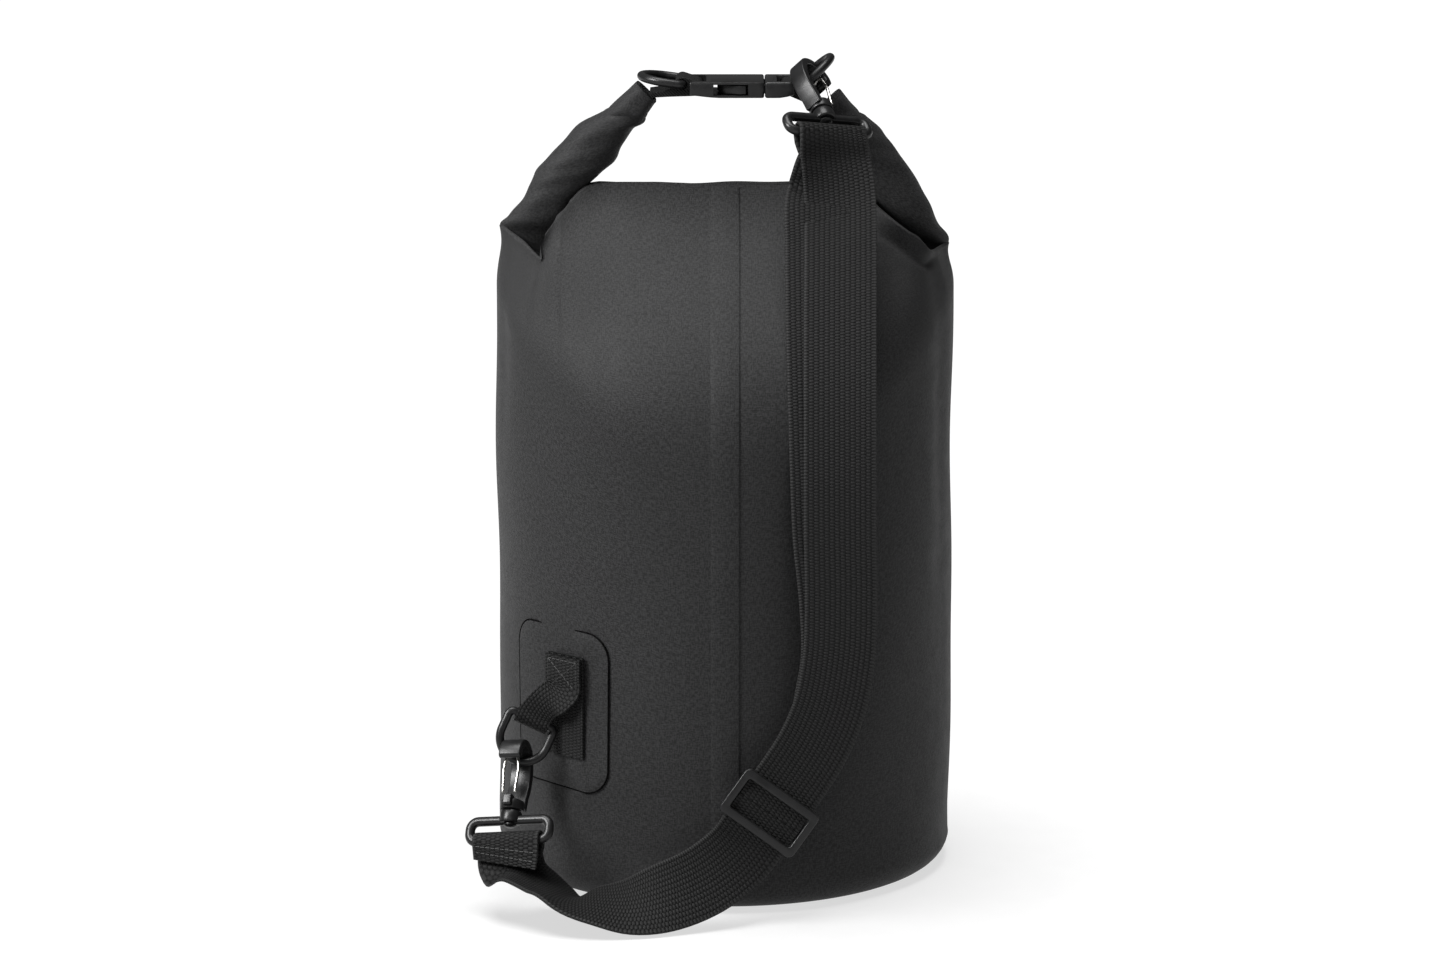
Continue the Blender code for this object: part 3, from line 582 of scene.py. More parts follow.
def wall_point(angle, t):
    """A point of the fabric: t runs from 0 at the base's edge curve to 1 at the rim."""
    out = outward(angle)
    ear = ear_weight(angle)
    rim = rim_at(angle)
    flat = abs(cos(radians(angle)))
    start_z = 0.318 - 0.078 * flat**1.4
    wall = start_z - EDGE_RADIUS
    straight = wall / (wall + 0.13)
    if t < straight:
        z = EDGE_RADIUS + wall * t / straight
        place = out * RADIUS + UP * z
    else:
        s = (t - straight) / (1 - straight)
        start = out * RADIUS + UP * start_z
        span = (rim - start).length
        plain = Vector((-out.x * 0.2 * flat, -out.y * 0.75 * flat, 0.75)).normalized()
        arrive = (plain * (1 - ear) + arrival(angle) * ear).normalized()
        first = start + UP * (0.42 * span)
        second = eased_at(angle).lerp(rim, 0.3) - arrive * 0.32 * span
        place = (
            start * (1 - s) ** 3 + first * (3 * s * (1 - s) ** 2)
            + second * (3 * s * s * (1 - s)) + rim * s**3
        )
    fade = 1.0 if t < 0.9 else (1 - t) / 0.1
    place += out * ripple(angle, place.z) * fade
    depth = crease_depth(place) * min(1.0, max(0.0, (1 - t) / 0.03))
    place -= (out * 0.8 + UP * 0.5) * depth
    return place


COLUMNS = 288
WALL_ROWS = 110
WALL_SHARES = [(row / WALL_ROWS) ** 0.85 for row in range(WALL_ROWS + 1)]


def lengths_up(rows):
    """The length along the first column of points, up to each row."""
    lengths = [0.0]
    for before, after in zip(rows, rows[1:]):
        lengths.append(lengths[-1] + (after[0] - before[0]).length)
    return lengths


def body_rows():
    rows = []
    angles = [360 * k / COLUMNS for k in range(COLUMNS)]
    outs = [outward(a) for a in angles]
    for r in (0.012, 0.045, 0.078, 0.1, RADIUS - EDGE_RADIUS):
        rows.append([out * r + UP * 0.0002 for out in outs])
    for turn in range(10, 90, 10):
        r = RADIUS - EDGE_RADIUS * (1 - sin(radians(turn)))
        z = EDGE_RADIUS * (1 - cos(radians(turn)))
        rows.append([out * r + UP * z for out in outs])
    rows += [[wall_point(a, t) for a in angles] for t in WALL_SHARES]
    lips = [[] for _ in range(10)]
    for angle, place in zip(angles, rows[-1]):
        ear = ear_weight(angle)
        inward = pocket_at(angle)
        lean = lean_at(angle)
        radius = 0.001 + 0.0014 * ear
        for i in range(6):
            turn = (lean + radians(80)) * (i + 1) / 6
            level = sin(lean) - sin(lean - turn)
            rise = cos(lean - turn) - cos(lean)
            lips[i].append(place + (inward * level + UP * rise) * radius)
        start = lips[5][-1]
        goal = Vector((place.x * 0.93, place.y * 0.06, place.z - 0.014 - 0.012 * ear))
        for i, s in enumerate((0.15, 0.4, 0.7, 1.0)):
            lips[6 + i].append(start.lerp(goal, s) - UP * (0.01 * sin(pi * s)))
    return rows + lips


def add_body():
    rows = body_rows()
    heights = lengths_up(rows)
    pitch = 2 * pi * RADIUS / COLUMNS
    mesh = grid_mesh(rows, lambda a, b: (b * pitch, heights[a]), closed=True, caps=(0, -1))
    piece("bag_fabric", mesh, FABRIC, "bag", ["body_tube", "base_panel"], sharp=60)


def surface_point(arc_length, z, lift):
    """A point lifted off the fabric, at a length round the bag and a height on its straight wall."""
    angle = arc_length / RADIUS * 180 / pi
    return outward(angle) * (RADIUS + ripple(angle, z) + lift) + UP * z


def add_seam():
    """The lapped seam down the near side: a crisp edge on the right, a soft one on the left."""
    section = [
        (-0.0085, -0.0003), (-0.0066, 0.0002), (-0.0048, 0.0005), (0.0, 0.0007), (0.0068, 0.0008),
        (0.0074, 0.0007), (0.0075, -0.0004),
    ]
    rows = []
    for t in WALL_SHARES:
        line = []
        for s, lift in section:
            angle = s / RADIUS * 180 / pi
            place = wall_point(angle, t)
            ahead = wall_point(angle, min(1.0, t + 0.01)) - wall_point(angle, max(0.0, t - 0.01))
            side = wall_point(angle + 1, t) - wall_point(angle - 1, t)
            normal = side.cross(ahead).normalized()
            line.append(place + normal * lift)
        rows.append(line)
    heights = lengths_up(rows)
    mesh = grid_mesh(rows, lambda a, b: (section[b][0], heights[a]))
    piece("seam_lap", mesh, FABRIC, "bag", ["back_seam_strip"], sharp=30)


def rounded_outline(half_w, half_h, corner, steps=8):
    points = []
    for x, y, start in ((1, 1, 0), (-1, 1, 90), (-1, -1, 180), (1, -1, 270)):
        points += arc((x * (half_w - corner), y * (half_h - corner)), corner, start, start + 90, steps)
    return points


def add_patch():
    """The welded patch: a thin sheet with rounded corners, flush with the wall, and a thin bead round its
    edge, near-black as painted shade of the groove there.
    """
    middle_arc = radians(-46) * RADIUS
    middle_z = 0.1035
    outline = rounded_outline(0.0345, 0.043, 0.014)
    steps = 12

    def outline_at(share, lift, share_z=None):
        return [
            surface_point(middle_arc + x * share, middle_z + z * (share_z or share), lift) for x, z in outline
        ]

    rows = [outline_at(k / steps, 0.001) for k in range(1, steps + 1)]
    rows += [outline_at(1.004, 0.0009), outline_at(1.009, 0.0005), outline_at(1.01, -0.0004)]

    def uvs(row, column):
        x, z = outline[column % len(outline)]
        return x * row / steps, z * row / steps

    mesh = grid_mesh(rows, uvs, closed=True, caps=(0,))
    piece("welded_patch", mesh, FABRIC, "bag", ["lower_patch"], sharp=30)
    # A thin bead round the patch's edge, coloured near-black: painted shade of the groove where the patch
    # meets the wall.
    line = tube_mesh(outline_at(1.014, 0.0007, 1.012), 0.00045, closed=True, sides=8)
    piece("patch_painted_edge_shade", line, PAINTED_EDGE_SHADE, "bag", slot="coated_fabric")


def squared(angle, power):
    """A point of a rounded square: power 2 is a circle, and more is squarer."""
    c, s = cos(angle), sin(angle)
    return copysign(abs(c) ** (2 / power), c), copysign(abs(s) ** (2 / power), s)


def lofted(stations, per_span, power, wobble):
    """A soft tube through stations of (outer point, inner point, half depth), in millimetres of X and Z."""
    outers = [Vector((x, 0, z)) / 1000 for (x, z), _, _ in stations]
    inners = [Vector((x, 0, z)) / 1000 for _, (x, z), _ in stations]
    middles = [(a + b) / 2 for a, b in zip(outers, inners)]
    lengths = [(q - p).length for p, q in zip(middles, middles[1:])]
    outer = smooth_route(outers, per_span, lengths)
    inner = smooth_route(inners, per_span, lengths)
    depth = smooth_route([Vector((d / 1000, 0, 0)) for _, _, d in stations], per_span, lengths)
    rings = []
    count = 48
    for i, (a, b, d) in enumerate(zip(outer, inner, depth)):
        ring = []
        for k in range(count):
            turn = 2 * pi * k / count
            u, v = squared(turn, power)
            spoke = (a - b) / 2 * u + Vector((0, -v * d.x, 0))
            push = wobble * (sin(0.55 * i + 3 * turn) + 0.6 * sin(0.31 * i - 5 * turn + 1))
            ring.append((a + b) / 2 + spoke + spoke.normalized() * push)
        rings.append(ring)
    return rings


LEFT_ARM = [
    ((-61.2, 412.2), (-42, 409.2), 10.8), ((-65.5, 410), (-42.5, 406), 12.6),
    ((-78.6, 402.7), (-48.7, 401), 13.8), ((-88, 392.4), (-54.5, 392.5), 14.2),
    ((-96.5, 383.8), (-59.2, 383.5), 14.2), ((-101.8, 377), (-66.5, 376.8), 13.8),
    ((-104.8, 370), (-74, 370), 13.2), ((-109.5, 361.5), (-80, 360), 12),
    ((-116, 354), (-85, 348), 9.5), ((-120.8, 348.8), (-90, 338), 5),
    ((-119.5, 344), (-95, 332), 4),
]
RIGHT_ARM = [
    ((73.2, 409), (56, 406), 10.8), ((76.8, 406.8), (57, 403), 12.6),
    ((83.5, 400.5), (60, 397), 13.8), ((88, 394.5), (63, 390.5), 14.2),
    ((95.1, 385.4), (67, 382), 14.5), ((104.3, 370.8), (73, 370), 15),
    ((110.3, 359.9), (84, 358), 16.5), ((115.2, 349), (95.5, 348), 14),
    ((120.5, 339.5), (106, 340), 6), ((118, 335), (108, 335), 4),
]
LEFT_BAND = [
    ((-46.9, 425.9), (-36.6, 415.8), 12.8), ((-48.2, 424.8), (-37.8, 414.4), 13),
    ((-54, 419.4), (-40.5, 410.6), 13), ((-61.2, 412.6), (-41.8, 407.8), 12.8),
    ((-65, 409), (-44, 405), 11),
]
RIGHT_BAND = [
    ((61.7, 421.6), (52, 412.5), 12.8), ((62.8, 420.4), (52.8, 411.2), 13),
    ((68, 414), (55, 407.5), 13), ((72.2, 409.2), (57, 404), 12.8),
    ((74, 406), (59, 401), 11),
]


def rolled_cap(rings):
    """Closes a roll's first ring with the wound layers that show at its end."""
    steps = 12
    first = rings[0]
    centre = sum(first, Vector()) / len(first)
    out = (centre - sum(rings[1], Vector()) / len(rings[1])).normalized()
    caps = []
    for k in range(steps, 0, -1):
        share = 1 - k / (steps + 1)
        dip = -0.0009 if k % 3 == 1 else 0.0
        caps.append([centre.lerp(place, share) + out * (dip + 0.0002) for place in first])
    return caps + rings


def add_arm(name, stations, band, body, nodes):
    """An arm of the roll and the band that holds its last turns, as two pieces."""
    rings = lofted(stations, 8, 2.35, 0.00022)

    def uvs(row, column):
        return column * 0.0021, row * 0.0016

    arm = piece(name, grid_mesh(rings, uvs, True, (0, -1)), FABRIC, body, nodes, sharp=60)
    ends = rolled_cap(lofted(band, 6, 3.4, 0.0001))
    cap = piece(name + "_band", grid_mesh(ends, uvs, True, (0, -1)), FABRIC, body, sharp=50)
    return arm, cap


def add_roll():
    """The rolled mouth between the arms, with the edge of its last turn along the far side."""
    section = []
    steps = 60
    for k in range(steps):
        u, v = squared(2 * pi * k / steps, 3.0)
        grow = 1 + 0.07 * ((k + 42) % steps) / steps
        section.append((u * 0.0088 * grow, v * 0.0128 * grow))
    rows = []
    half_length = 0.092
    for i in range(steps + 1):
        x = half_length * (2 * i / steps - 1)
        edge = abs(x) / half_length
        sink = 0.01 * max(0.0, (edge - 0.72) / 0.28) ** 1.6
        small = 1 - 0.25 * max(0.0, (edge - 0.8) / 0.2)
        wave = 0.0004 * sin(70 * x) + 0.0003 * sin(160 * x + 1)
        rows.append([Vector((x, y * small, 0.358 - sink + wave + z * small)) for y, z in section])
    mesh = grid_mesh(rows, lambda a, b: (b * 0.0012, a * 0.003), closed=True, caps=(0, -1))
    piece("rolled_mouth", mesh, FABRIC, "bag", ["mouth_roll", "roll_stiffener"])


# ---- webbing


def ribbon_mesh(route, wide_by, thick=WEBBING_THICK, per_span=6):
    """A webbing strip along a route of (place, direction of its width), with rounded selvedges.

    A third value in a route's entry is the width there, if it isn't wide_by."""
    places = [Vector(entry[0]) for entry in route]
    lengths = [(after - before).length for before, after in zip(places, places[1:])]
    centres = smooth_route(places, per_span)
    sides = smooth_route([Vector(entry[1]).normalized() for entry in route], per_span, lengths)
    widths = [entry[2] if len(entry) > 2 else wide_by for entry in route]
    halves = smooth_route([Vector((width / 2, 0, 0)) for width in widths], per_span, lengths)
    section = [(-1, -0.55), (-0.985, -0.9), (-0.95, -1)]
    section += [(u / 10, -1) for u in range(-8, 9, 2)]
    section += [(0.95, -1), (0.985, -0.9), (1, -0.55)]
    section += [(-u, -v) for u, v in section]
    rows = []
    frames = []
    lengths_at = [0.0]
    for i, centre in enumerate(centres):
        before = centres[max(i - 1, 0)]
        after = centres[min(i + 1, len(centres) - 1)]
        if i:
            lengths_at.append(lengths_at[-1] + (centre - centres[i - 1]).length)
        along = (after - before).normalized()
        side = (sides[i] - along * sides[i].dot(along)).normalized()
        normal = along.cross(side)
        half = halves[i].x
        rows.append([centre + side * (u * half) + normal * (v * thick / 2) for u, v in section])
        frames.append((centre, side * half, normal))
    wide = [u * halves[0].x for u, _ in section]
    wide.append(wide[-1] + 0.0005)
    mesh = grid_mesh(rows, lambda a, b: (wide[b], lengths_at[a]), closed=True, caps=(0, -1))
    return mesh, lengths_at[-1], frames


UPPER_CLIP = frame_matrix((0.0518, -0.034, 0.4137), (0.93, 0.35, -0.137), (-0.24, 0.8, 0.55))
UPPER_TURN = radians(28)
LOWER_CLIP = frame_matrix((-0.1128, -0.1149, 0.0528), (0.87, -0.48, -0.07), (0.089, 0.559, 0.826))
LOWER_TURN = radians(-85)
LOWER_RING_DROP = Vector((-0.409, -0.27, -0.869)).normalized()
LOWER_RING_ACROSS = Vector((0.901, 0.024, -0.433)).normalized()
LOWER_RING_NORMAL = LOWER_RING_DROP.cross(LOWER_RING_ACROSS)

SLIDER_CENTRE = Vector((0.0232, -0.136, 0.059))
SLIDER_ALONG = Vector((0.576, 0.123, 0.808)).normalized()
SLIDER_ACROSS = Vector((0.81, 0, -0.59))
SLIDER_NORMAL = SLIDER_ACROSS.cross(SLIDER_ALONG).normalized()

STRAP_ABOVE = [
    ((0.0606, -0.056, 0.373), (1, 0, 0)),
    ((0.0607, -0.073, 0.35), (1, 0, 0)),
    ((0.0603, -0.093, 0.323), (1, 0, 0)),
    ((0.06, -0.112, 0.286), (1, 0, 0)),
    ((0.06, -0.1235, 0.24), (1, 0, 0)),
    ((0.0602, -0.1265, 0.203), (1, 0, 0)),
    ((0.0607, -0.1275, 0.17), (1, 0, 0)),
    ((0.0594, -0.1285, 0.138), (0.99, 0, -0.12)),
    ((0.0545, -0.1295, 0.113), (0.93, 0, -0.36)),
    ((0.046, -0.1312, 0.093), (0.85, 0, -0.52)),
]
STRAP_BELOW = [
    ((-0.0067, -0.145, 0.027), (0.62, -0.25, -0.74)),
    ((-0.0297, -0.152, 0.0178), (0.3, -0.52, -0.8)),
    ((-0.0501, -0.154, 0.0132), (0.12, -0.82, -0.55)),
    ((-0.068, -0.152, 0.0136), (0.08, -0.96, -0.24)),
    ((-0.0835, -0.1465, 0.0141), (0.0, -1.0, 0.05)),
    ((-0.0925, -0.139, 0.0177), (-0.3, -0.95, 0.05)),
    ((-0.1017, -0.1312, 0.0222), (-0.62, -0.77, 0.09)),
]
SEWN_TAIL = [
    ((-0.1035, -0.1298, 0.023), (0.68, 0.72, -0.1)),
    ((-0.1085, -0.1262, 0.0256), (0.9, 0.28, -0.15)),
    ((-0.1122, -0.1236, 0.029), (0.93, -0.32, -0.11)),
    ((-0.1135, -0.1212, 0.033), (0.88, -0.46, -0.08)),
]


def through_slider(steps):
    """The strap's stretch through the slider, bulging over the slider's middle bar."""
    route = []
    for step in steps:
        lift = 0.0016 * bell(step, 0, 0.45) - 0.0002
        place = SLIDER_CENTRE + SLIDER_ALONG * (0.0115 * step) + SLIDER_NORMAL * lift
        route.append((place, SLIDER_ACROSS))
    return route


def bar_wrap(placement, radius, start, end, steps):
    """Points on a turn of webbing round a strap loop's lower bar."""
    across = placement.to_3x3() @ Vector((1, 0, 0))
    points = arc((0, LOOP_BOTTOM), radius, start, end, steps)
    return [(placement @ Vector((0, y, z)), across) for y, z in points]


def flip(route):
    """The same places with the width's direction turned round."""
    return [(place, -Vector(side)) for place, side in route]


def add_straps():
    """The shoulder strap, in one run above the slider and one below it, and its doubled layer."""
    wrap_radius = LOOP_WIRE + GAP + WEBBING_THICK / 2 + 0.0003
    front = [
        ((0.0605, -0.055, 0.3744), (1, 0, 0)),
        ((0.0598, -0.0527, 0.383), (0.99, 0.12, -0.05)),
        ((0.0584, -0.0507, 0.392), (0.97, 0.26, -0.1)),
    ]
    # The doubled layer behind the front one: how far each place is shifted sideways, from the loop down.
    shifts = (0.001, 0.0052, 0.0085, 0.0092, 0.01, 0.0096, 0.0086, 0.0072, 0.0058, 0.003, 0.0008, 0.0)
    back = []
    for i, ((x, y, z), side) in enumerate(front[::-1] + STRAP_ABOVE[:9]):
        gap = WEBBING_THICK + (0.002 if i < len(front) else 0.0008)
        back.append(((x - shifts[i], y + gap, z), side))
    upper = through_slider((0.0, 0.35, 0.7, 1.2, 2)) + STRAP_ABOVE[::-1] + front[1:]
    upper += bar_wrap(UPPER_CLIP, wrap_radius, -140, -320, 9) + back
    mesh, length, _ = ribbon_mesh(upper, WEBBING)
    top = piece("strap_above_slider", mesh, WOVEN, None, ["strap_top", "strap_return"])
    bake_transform(top)
    flap = [((-0.116, -0.1282, 0.0285), (0.87, -0.48, -0.07))]
    lower = through_slider((0.0, -0.35, -0.7, -1.2, -2)) + STRAP_BELOW + flip(SEWN_TAIL)
    lower += flip(bar_wrap(LOWER_CLIP, wrap_radius, 207, 27, 9)[::-1]) + flip(flap)
    mesh, length, frames = ribbon_mesh(lower, WEBBING)
    run = piece("strap_below_slider", mesh, WOVEN, None, ["strap_run", "strap_sewn_end"])
    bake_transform(run)
    lines = []
    for centre, side, normal in (frames[-3], frames[-5]):
        out = normal if normal.y < 0 else -normal
        raised = centre + out * (WEBBING_THICK / 2 + 0.0001)
        lines.append((raised - side * 0.9, raised + side * 0.9))
    piece("flap_stitches", stitches_mesh(lines), THREAD, "strap_foot", slot="webbing")


def stitches_mesh(lines, pitch=0.0027, length=0.0019, radius=0.00028):
    """Rows of small raised stitches along straight lines of points."""
    meshes = []
    for start, end in lines:
        start, end = Vector(start), Vector(end)
        along = (end - start).normalized()
        count = max(1, int((end - start).length / pitch))
        for k in range(count):
            middle = start.lerp(end, (k + 0.5) / count)
            half = along * length / 2
            meshes.append(tube_mesh([middle - half, middle + half], radius, sides=6))
    return join_meshes(meshes)


def add_lower_tab():
    """The tab sewn down the patch, and the loop on it that holds the lower ring."""
    turn = -42
    tangent = outward(turn + 90)

    def patch_place(angle, stand_off, z):
        return outward(angle) * (RADIUS + stand_off) + UP * z

    on_patch = 0.0008 + GAP * 3 + WEBBING_THICK / 2
    strip = [(patch_place(turn, on_patch, z), tangent) for z in (0.1335, 0.115, 0.097, 0.0785)]
    mesh, _, _ = ribbon_mesh(strip, LOWER_TAB_WIDTH)
    piece("patch_strip", mesh, WOVEN, "bag", ["lower_tab"])
    on_strip = on_patch + WEBBING_THICK + GAP
    out = outward(turn)
    across = LOWER_RING_ACROSS
    radial = (out - across * out.dot(across)).normalized()
    upwards = radial.cross(across)
    wrap_radius = WIRE + GAP + WEBBING_THICK / 2 + 0.0004
    wide = LOWER_TAB_WIDTH
    # Degrees round the bag, rise off the strip, height, share of the ring's direction, width.
    start = (
        (0, 0.0002, 0.133, 0, wide), (0, 0.0004, 0.122, 0, wide), (0, 0.0006, 0.116, 0.02, wide),
        (1, 0.0026, 0.1118, 0.15, 0.0225), (3, 0.006, 0.1078, 0.6, LOWER_TAB_AT_RING),
    )
    route = []
    for shift, rise, z, blend, width in start:
        side = tangent * (1 - blend) + across * blend
        route.append((patch_place(turn - shift, on_strip + rise, z), side, width))
    for step in range(9):
        angle = radians(60 - 210 * step / 8)
        place = LOWER_RING_BAR + (radial * cos(angle) + upwards * sin(angle)) * wrap_radius
        route.append((place, across, LOWER_TAB_AT_RING))
    for rise in (0.0005, 0.0022):
        place = LOWER_RING_BAR - radial * 0.0041 + upwards * rise
        route.append((place, across, LOWER_TAB_AT_RING))
    mesh, _, _ = ribbon_mesh(route, LOWER_TAB_WIDTH)
    piece("ring_loop", mesh, WOVEN, "bag", ["lower_ring_loop"])
    raised = on_strip + WEBBING_THICK / 2 + 0.0002
    half = LOWER_TAB_WIDTH / 2 - 0.0022

    def spot(side, z):
        return patch_place(turn, raised, z) + tangent * (side * half)

    corners = [spot(-1, 0.131), spot(1, 0.131), spot(1, 0.115), spot(-1, 0.115)]
    lines = list(zip(corners, corners[1:] + corners[:1]))
    lines += [(corners[0], corners[2]), (corners[1], corners[3])]
    piece("tab_stitches", stitches_mesh(lines), THREAD, "bag", slot="webbing")


def add_tab(name, body, bar, ring_bar, bar_turn, ring_turn, tail):
    """A webbing tab drawn from its edge: wrapped round a buckle's bar and a ring's, with a tail."""
    outer = 0.0038
    inner = 0.0026
    bar, ring_bar = (bar, BUCKLE_Z), (ring_bar.x, ring_bar.z)
    loops = [
        arc(bar, outer, *bar_turn, 16) + arc(ring_bar, outer, *ring_turn, 12) + tail,
        arc(bar, inner, 0, 360, 24)[:-1],
        arc(ring_bar, inner, 0, 360, 24)[:-1],
    ]
    mesh = plate_mesh(loops, TAB_WEBBING / 2, 0.0004, frame_matrix((0, 0, 0), (1, 0, 0), (0, -1, 0)))
    layer = mesh.uv_layers.new(name="cloth")
    for loop in mesh.loops:
        x, y, z = mesh.vertices[loop.vertex_index].co
        layer.data[loop.index].uv = (y, x + z)
    piece(name + "_webbing_tab", mesh, WOVEN, body, [name + "_tab"])


LEFT_TAIL = [(-0.033, 0.4225), (-0.04, 0.4215), (-0.0394, 0.419), (-0.03, 0.4195)]
RIGHT_TAIL = [
    (0.0452, 0.4185), (0.049, 0.4156), (0.0542, 0.4136), (0.053, 0.4118), (0.048, 0.413), (0.0425, 0.4165),
]


# ---- hardware


def ring_points(half_width, depth, matrix):
    """A D in the XY plane: its straight bar on the X axis, its bow towards -Y."""
    corner = 0.0028
    straight = depth - half_width
    points = [(x, 0.0) for x in (-0.6 * half_width, 0.0, 0.6 * half_width)]
    points += arc((half_width - corner, -corner), corner, 90, 0, 8)
    points += arc((0, -straight), half_width, 0, -180, 40)
    points += arc((-half_width + corner, -corner), corner, 180, 90, 8)
    return [matrix @ Vector((x, y, 0)) for x, y in points]


def add_rings():
    up = Vector((cos(RIGHT_RING_TILT), 0, sin(RIGHT_RING_TILT)))
    size = (RING_HALF_WIDTH, RING_DEPTH)
    lower_size = (LOWER_RING_HALF_WIDTH, LOWER_RING_DEPTH)
    rings = (
        ("left", "left_ring", size, LEFT_RING_BAR, (0, 1, 0), (-0.14, 0, -0.99)),
        ("right", "plug_end", size, RIGHT_RING_BAR, (0, 1, 0), Vector((0, 1, 0)).cross(-up)),
        ("lower", "strap_foot", lower_size, LOWER_RING_BAR, LOWER_RING_ACROSS, LOWER_RING_NORMAL),
    )
    for name, body, sizes, *placement in rings:
        mesh = tube_mesh(ring_points(*sizes, frame_matrix(*placement)), WIRE, closed=True)
        piece("ring_" + name, mesh, ACETAL, body, [name + "_d_ring"])


def hook_outline():
    """The hook's edge outline in its own plane: X towards the gate, Y up from the swivel."""
    middle = [
        (-0.0048, 0.003), (-0.006, 0.009), (-0.0088, 0.0175), (-0.0088, 0.027), (-0.0052, 0.035),
        (0.001, 0.0379), (0.0072, 0.0362), (0.0108, 0.0318), (0.0112, 0.029),
    ]
    line = smooth_route([Vector(place) for place in middle], 8)
    half = HOOK_THICK / 2
    outer = []
    inner = []
    for i, place in enumerate(line):
        along = (line[min(i + 1, len(line) - 1)] - line[max(i - 1, 0)]).normalized()
        side = Vector((-along.y, along.x))
        outer.append(place + side * half)
        inner.append(place - side * half)
    tip = line[-1]
    along = (line[-1] - line[-2]).normalized()
    side = Vector((-along.y, along.x))
    nose = [tip + side * x + along * y for x, y in arc((0, 0), half, 30, 150, 4)]
    return outer + nose + inner[::-1]


def add_clip(prefix, placement, turn, broad, clip_body, gate_body, foot_body):
    """A swivel snap hook with its wire gate, its strap loop and the rivet between them."""
    turned = placement @ Matrix.Rotation(turn, 4, "Z")
    stand = Matrix.Rotation(radians(90), 4, "X")
    spine = plate_mesh([hook_outline()], broad / 2, 0.0009, turned @ stand)
    bore = POST_RADIUS + 0.0004
    base = turned_mesh(
        [
            (bore, 0.0036), (bore, 0.0012), (0.0056, 0.001), (0.0062, 0.0013), (0.0064, 0.002),
            (0.0064, 0.0056), (0.0061, 0.0063), (0.0055, 0.0066), (0.0036, 0.0066), (0.0035, 0.004),
            (bore, 0.0037),
        ],
        turned,
    )
    ear_place = turned @ Matrix.Translation((0.0061, 0, 0.0051)) @ stand
    ear = plate_mesh([rounded_outline(0.0031, 0.0031, 0.0012)], 0.0022, 0.0005, ear_place)
    hook = join_meshes([spine, base, ear])
    piece(prefix + "_snap_hook", hook, ACETAL, clip_body, [prefix + "_hook"], sharp=35)
    rise = GATE_TOP - GATE_PIVOT
    half = 0.0034
    leg = [(0.0, half, 0.0), (rise.x, half, rise.z - 0.004), (rise.x, half * 0.75, rise.z - 0.0012)]
    wire = [Vector((x, -y, z)) for x, y, z in leg] + [rise] + [Vector(place) for place in leg[::-1]]
    gate = turned @ Matrix.Translation(GATE_PIVOT)
    mesh = tube_mesh([gate @ p for p in smooth_route(wire, 6)], 0.0008, sides=12)
    piece(prefix + "_wire_gate", mesh, STEEL, gate_body, [prefix + "_gate"])
    corner = 0.0045
    right = LOOP_HALF_WIDTH - corner
    loop = arc((right, LOOP_TOP - corner), corner, 90, 0, 8)
    loop += arc((right, LOOP_BOTTOM + corner), corner, 0, -90, 8)
    loop += arc((-right, LOOP_BOTTOM + corner), corner, -90, -180, 8)
    loop += arc((-right, LOOP_TOP - corner), corner, 180, 90, 8)
    frame_tube = tube_mesh([placement @ Vector((x, 0, z)) for x, z in loop], LOOP_WIRE, closed=True)
    hole = POST_RADIUS + 0.0003
    boss = turned_mesh(
        [
            (hole, -0.0058), (0.005, -0.006), (0.0057, -0.0055), (0.0059, -0.0047), (0.0059, -0.0006),
            (0.0056, 0.0002), (0.005, 0.0005), (hole, 0.0005),
        ],
        placement,
    )
    strap_loop = join_meshes([frame_tube, boss])
    piece(prefix + "_webbing_loop", strap_loop, ACETAL, foot_body, [prefix + "_strap_loop"], sharp=35)
    rivet = turned_mesh(
        [
            (0.0004, 0.0053), (0.0024, 0.0053), (0.0031, 0.0049), (0.0031, 0.0042), (POST_RADIUS, 0.004),
            (POST_RADIUS, -0.0063), (0.0034, -0.0064), (0.0034, -0.007), (0.0024, -0.0078), (0.0004, -0.0081),
        ],
        placement,
    )
    piece(prefix + "_rivet", rivet, ACETAL, foot_body, [prefix + "_swivel_post"])


def add_slider():
    """The tri-glide: a rounded frame in front of the strap, with its middle bar behind the strap."""
    placement = frame_matrix(SLIDER_CENTRE, SLIDER_ACROSS, SLIDER_NORMAL)
    half_w, half_l = SLIDER_WIDTH / 2, SLIDER_LENGTH / 2
    window = rounded_outline(WEBBING / 2 + 0.0004, half_l - 0.0048, 0.0012, 4)
    outline = rounded_outline(half_w, half_l, 0.0034)
    lifted = placement @ Matrix.Translation((0, 0, 0.0018))
    frame_part = plate_mesh([outline, window[::-1]], 0.0016, 0.0007, lifted)
    behind = placement @ Matrix.Translation((0, 0, -0.0024))
    bar = plate_mesh([rounded_outline(half_w - 0.0015, 0.0021, 0.0008, 3)], 0.0011, 0.0005, behind)
    sides = []
    for side in (-1, 1):
        post = placement @ Matrix.Translation((side * (half_w - 0.0021), 0, -0.0008))
        sides.append(plate_mesh([rounded_outline(0.0018, 0.006, 0.001, 3)], 0.0022, 0.0005, post))
    piece("tri_glide", join_meshes([frame_part, bar, *sides]), ACETAL, "strap_slider", ["slider"], sharp=35)


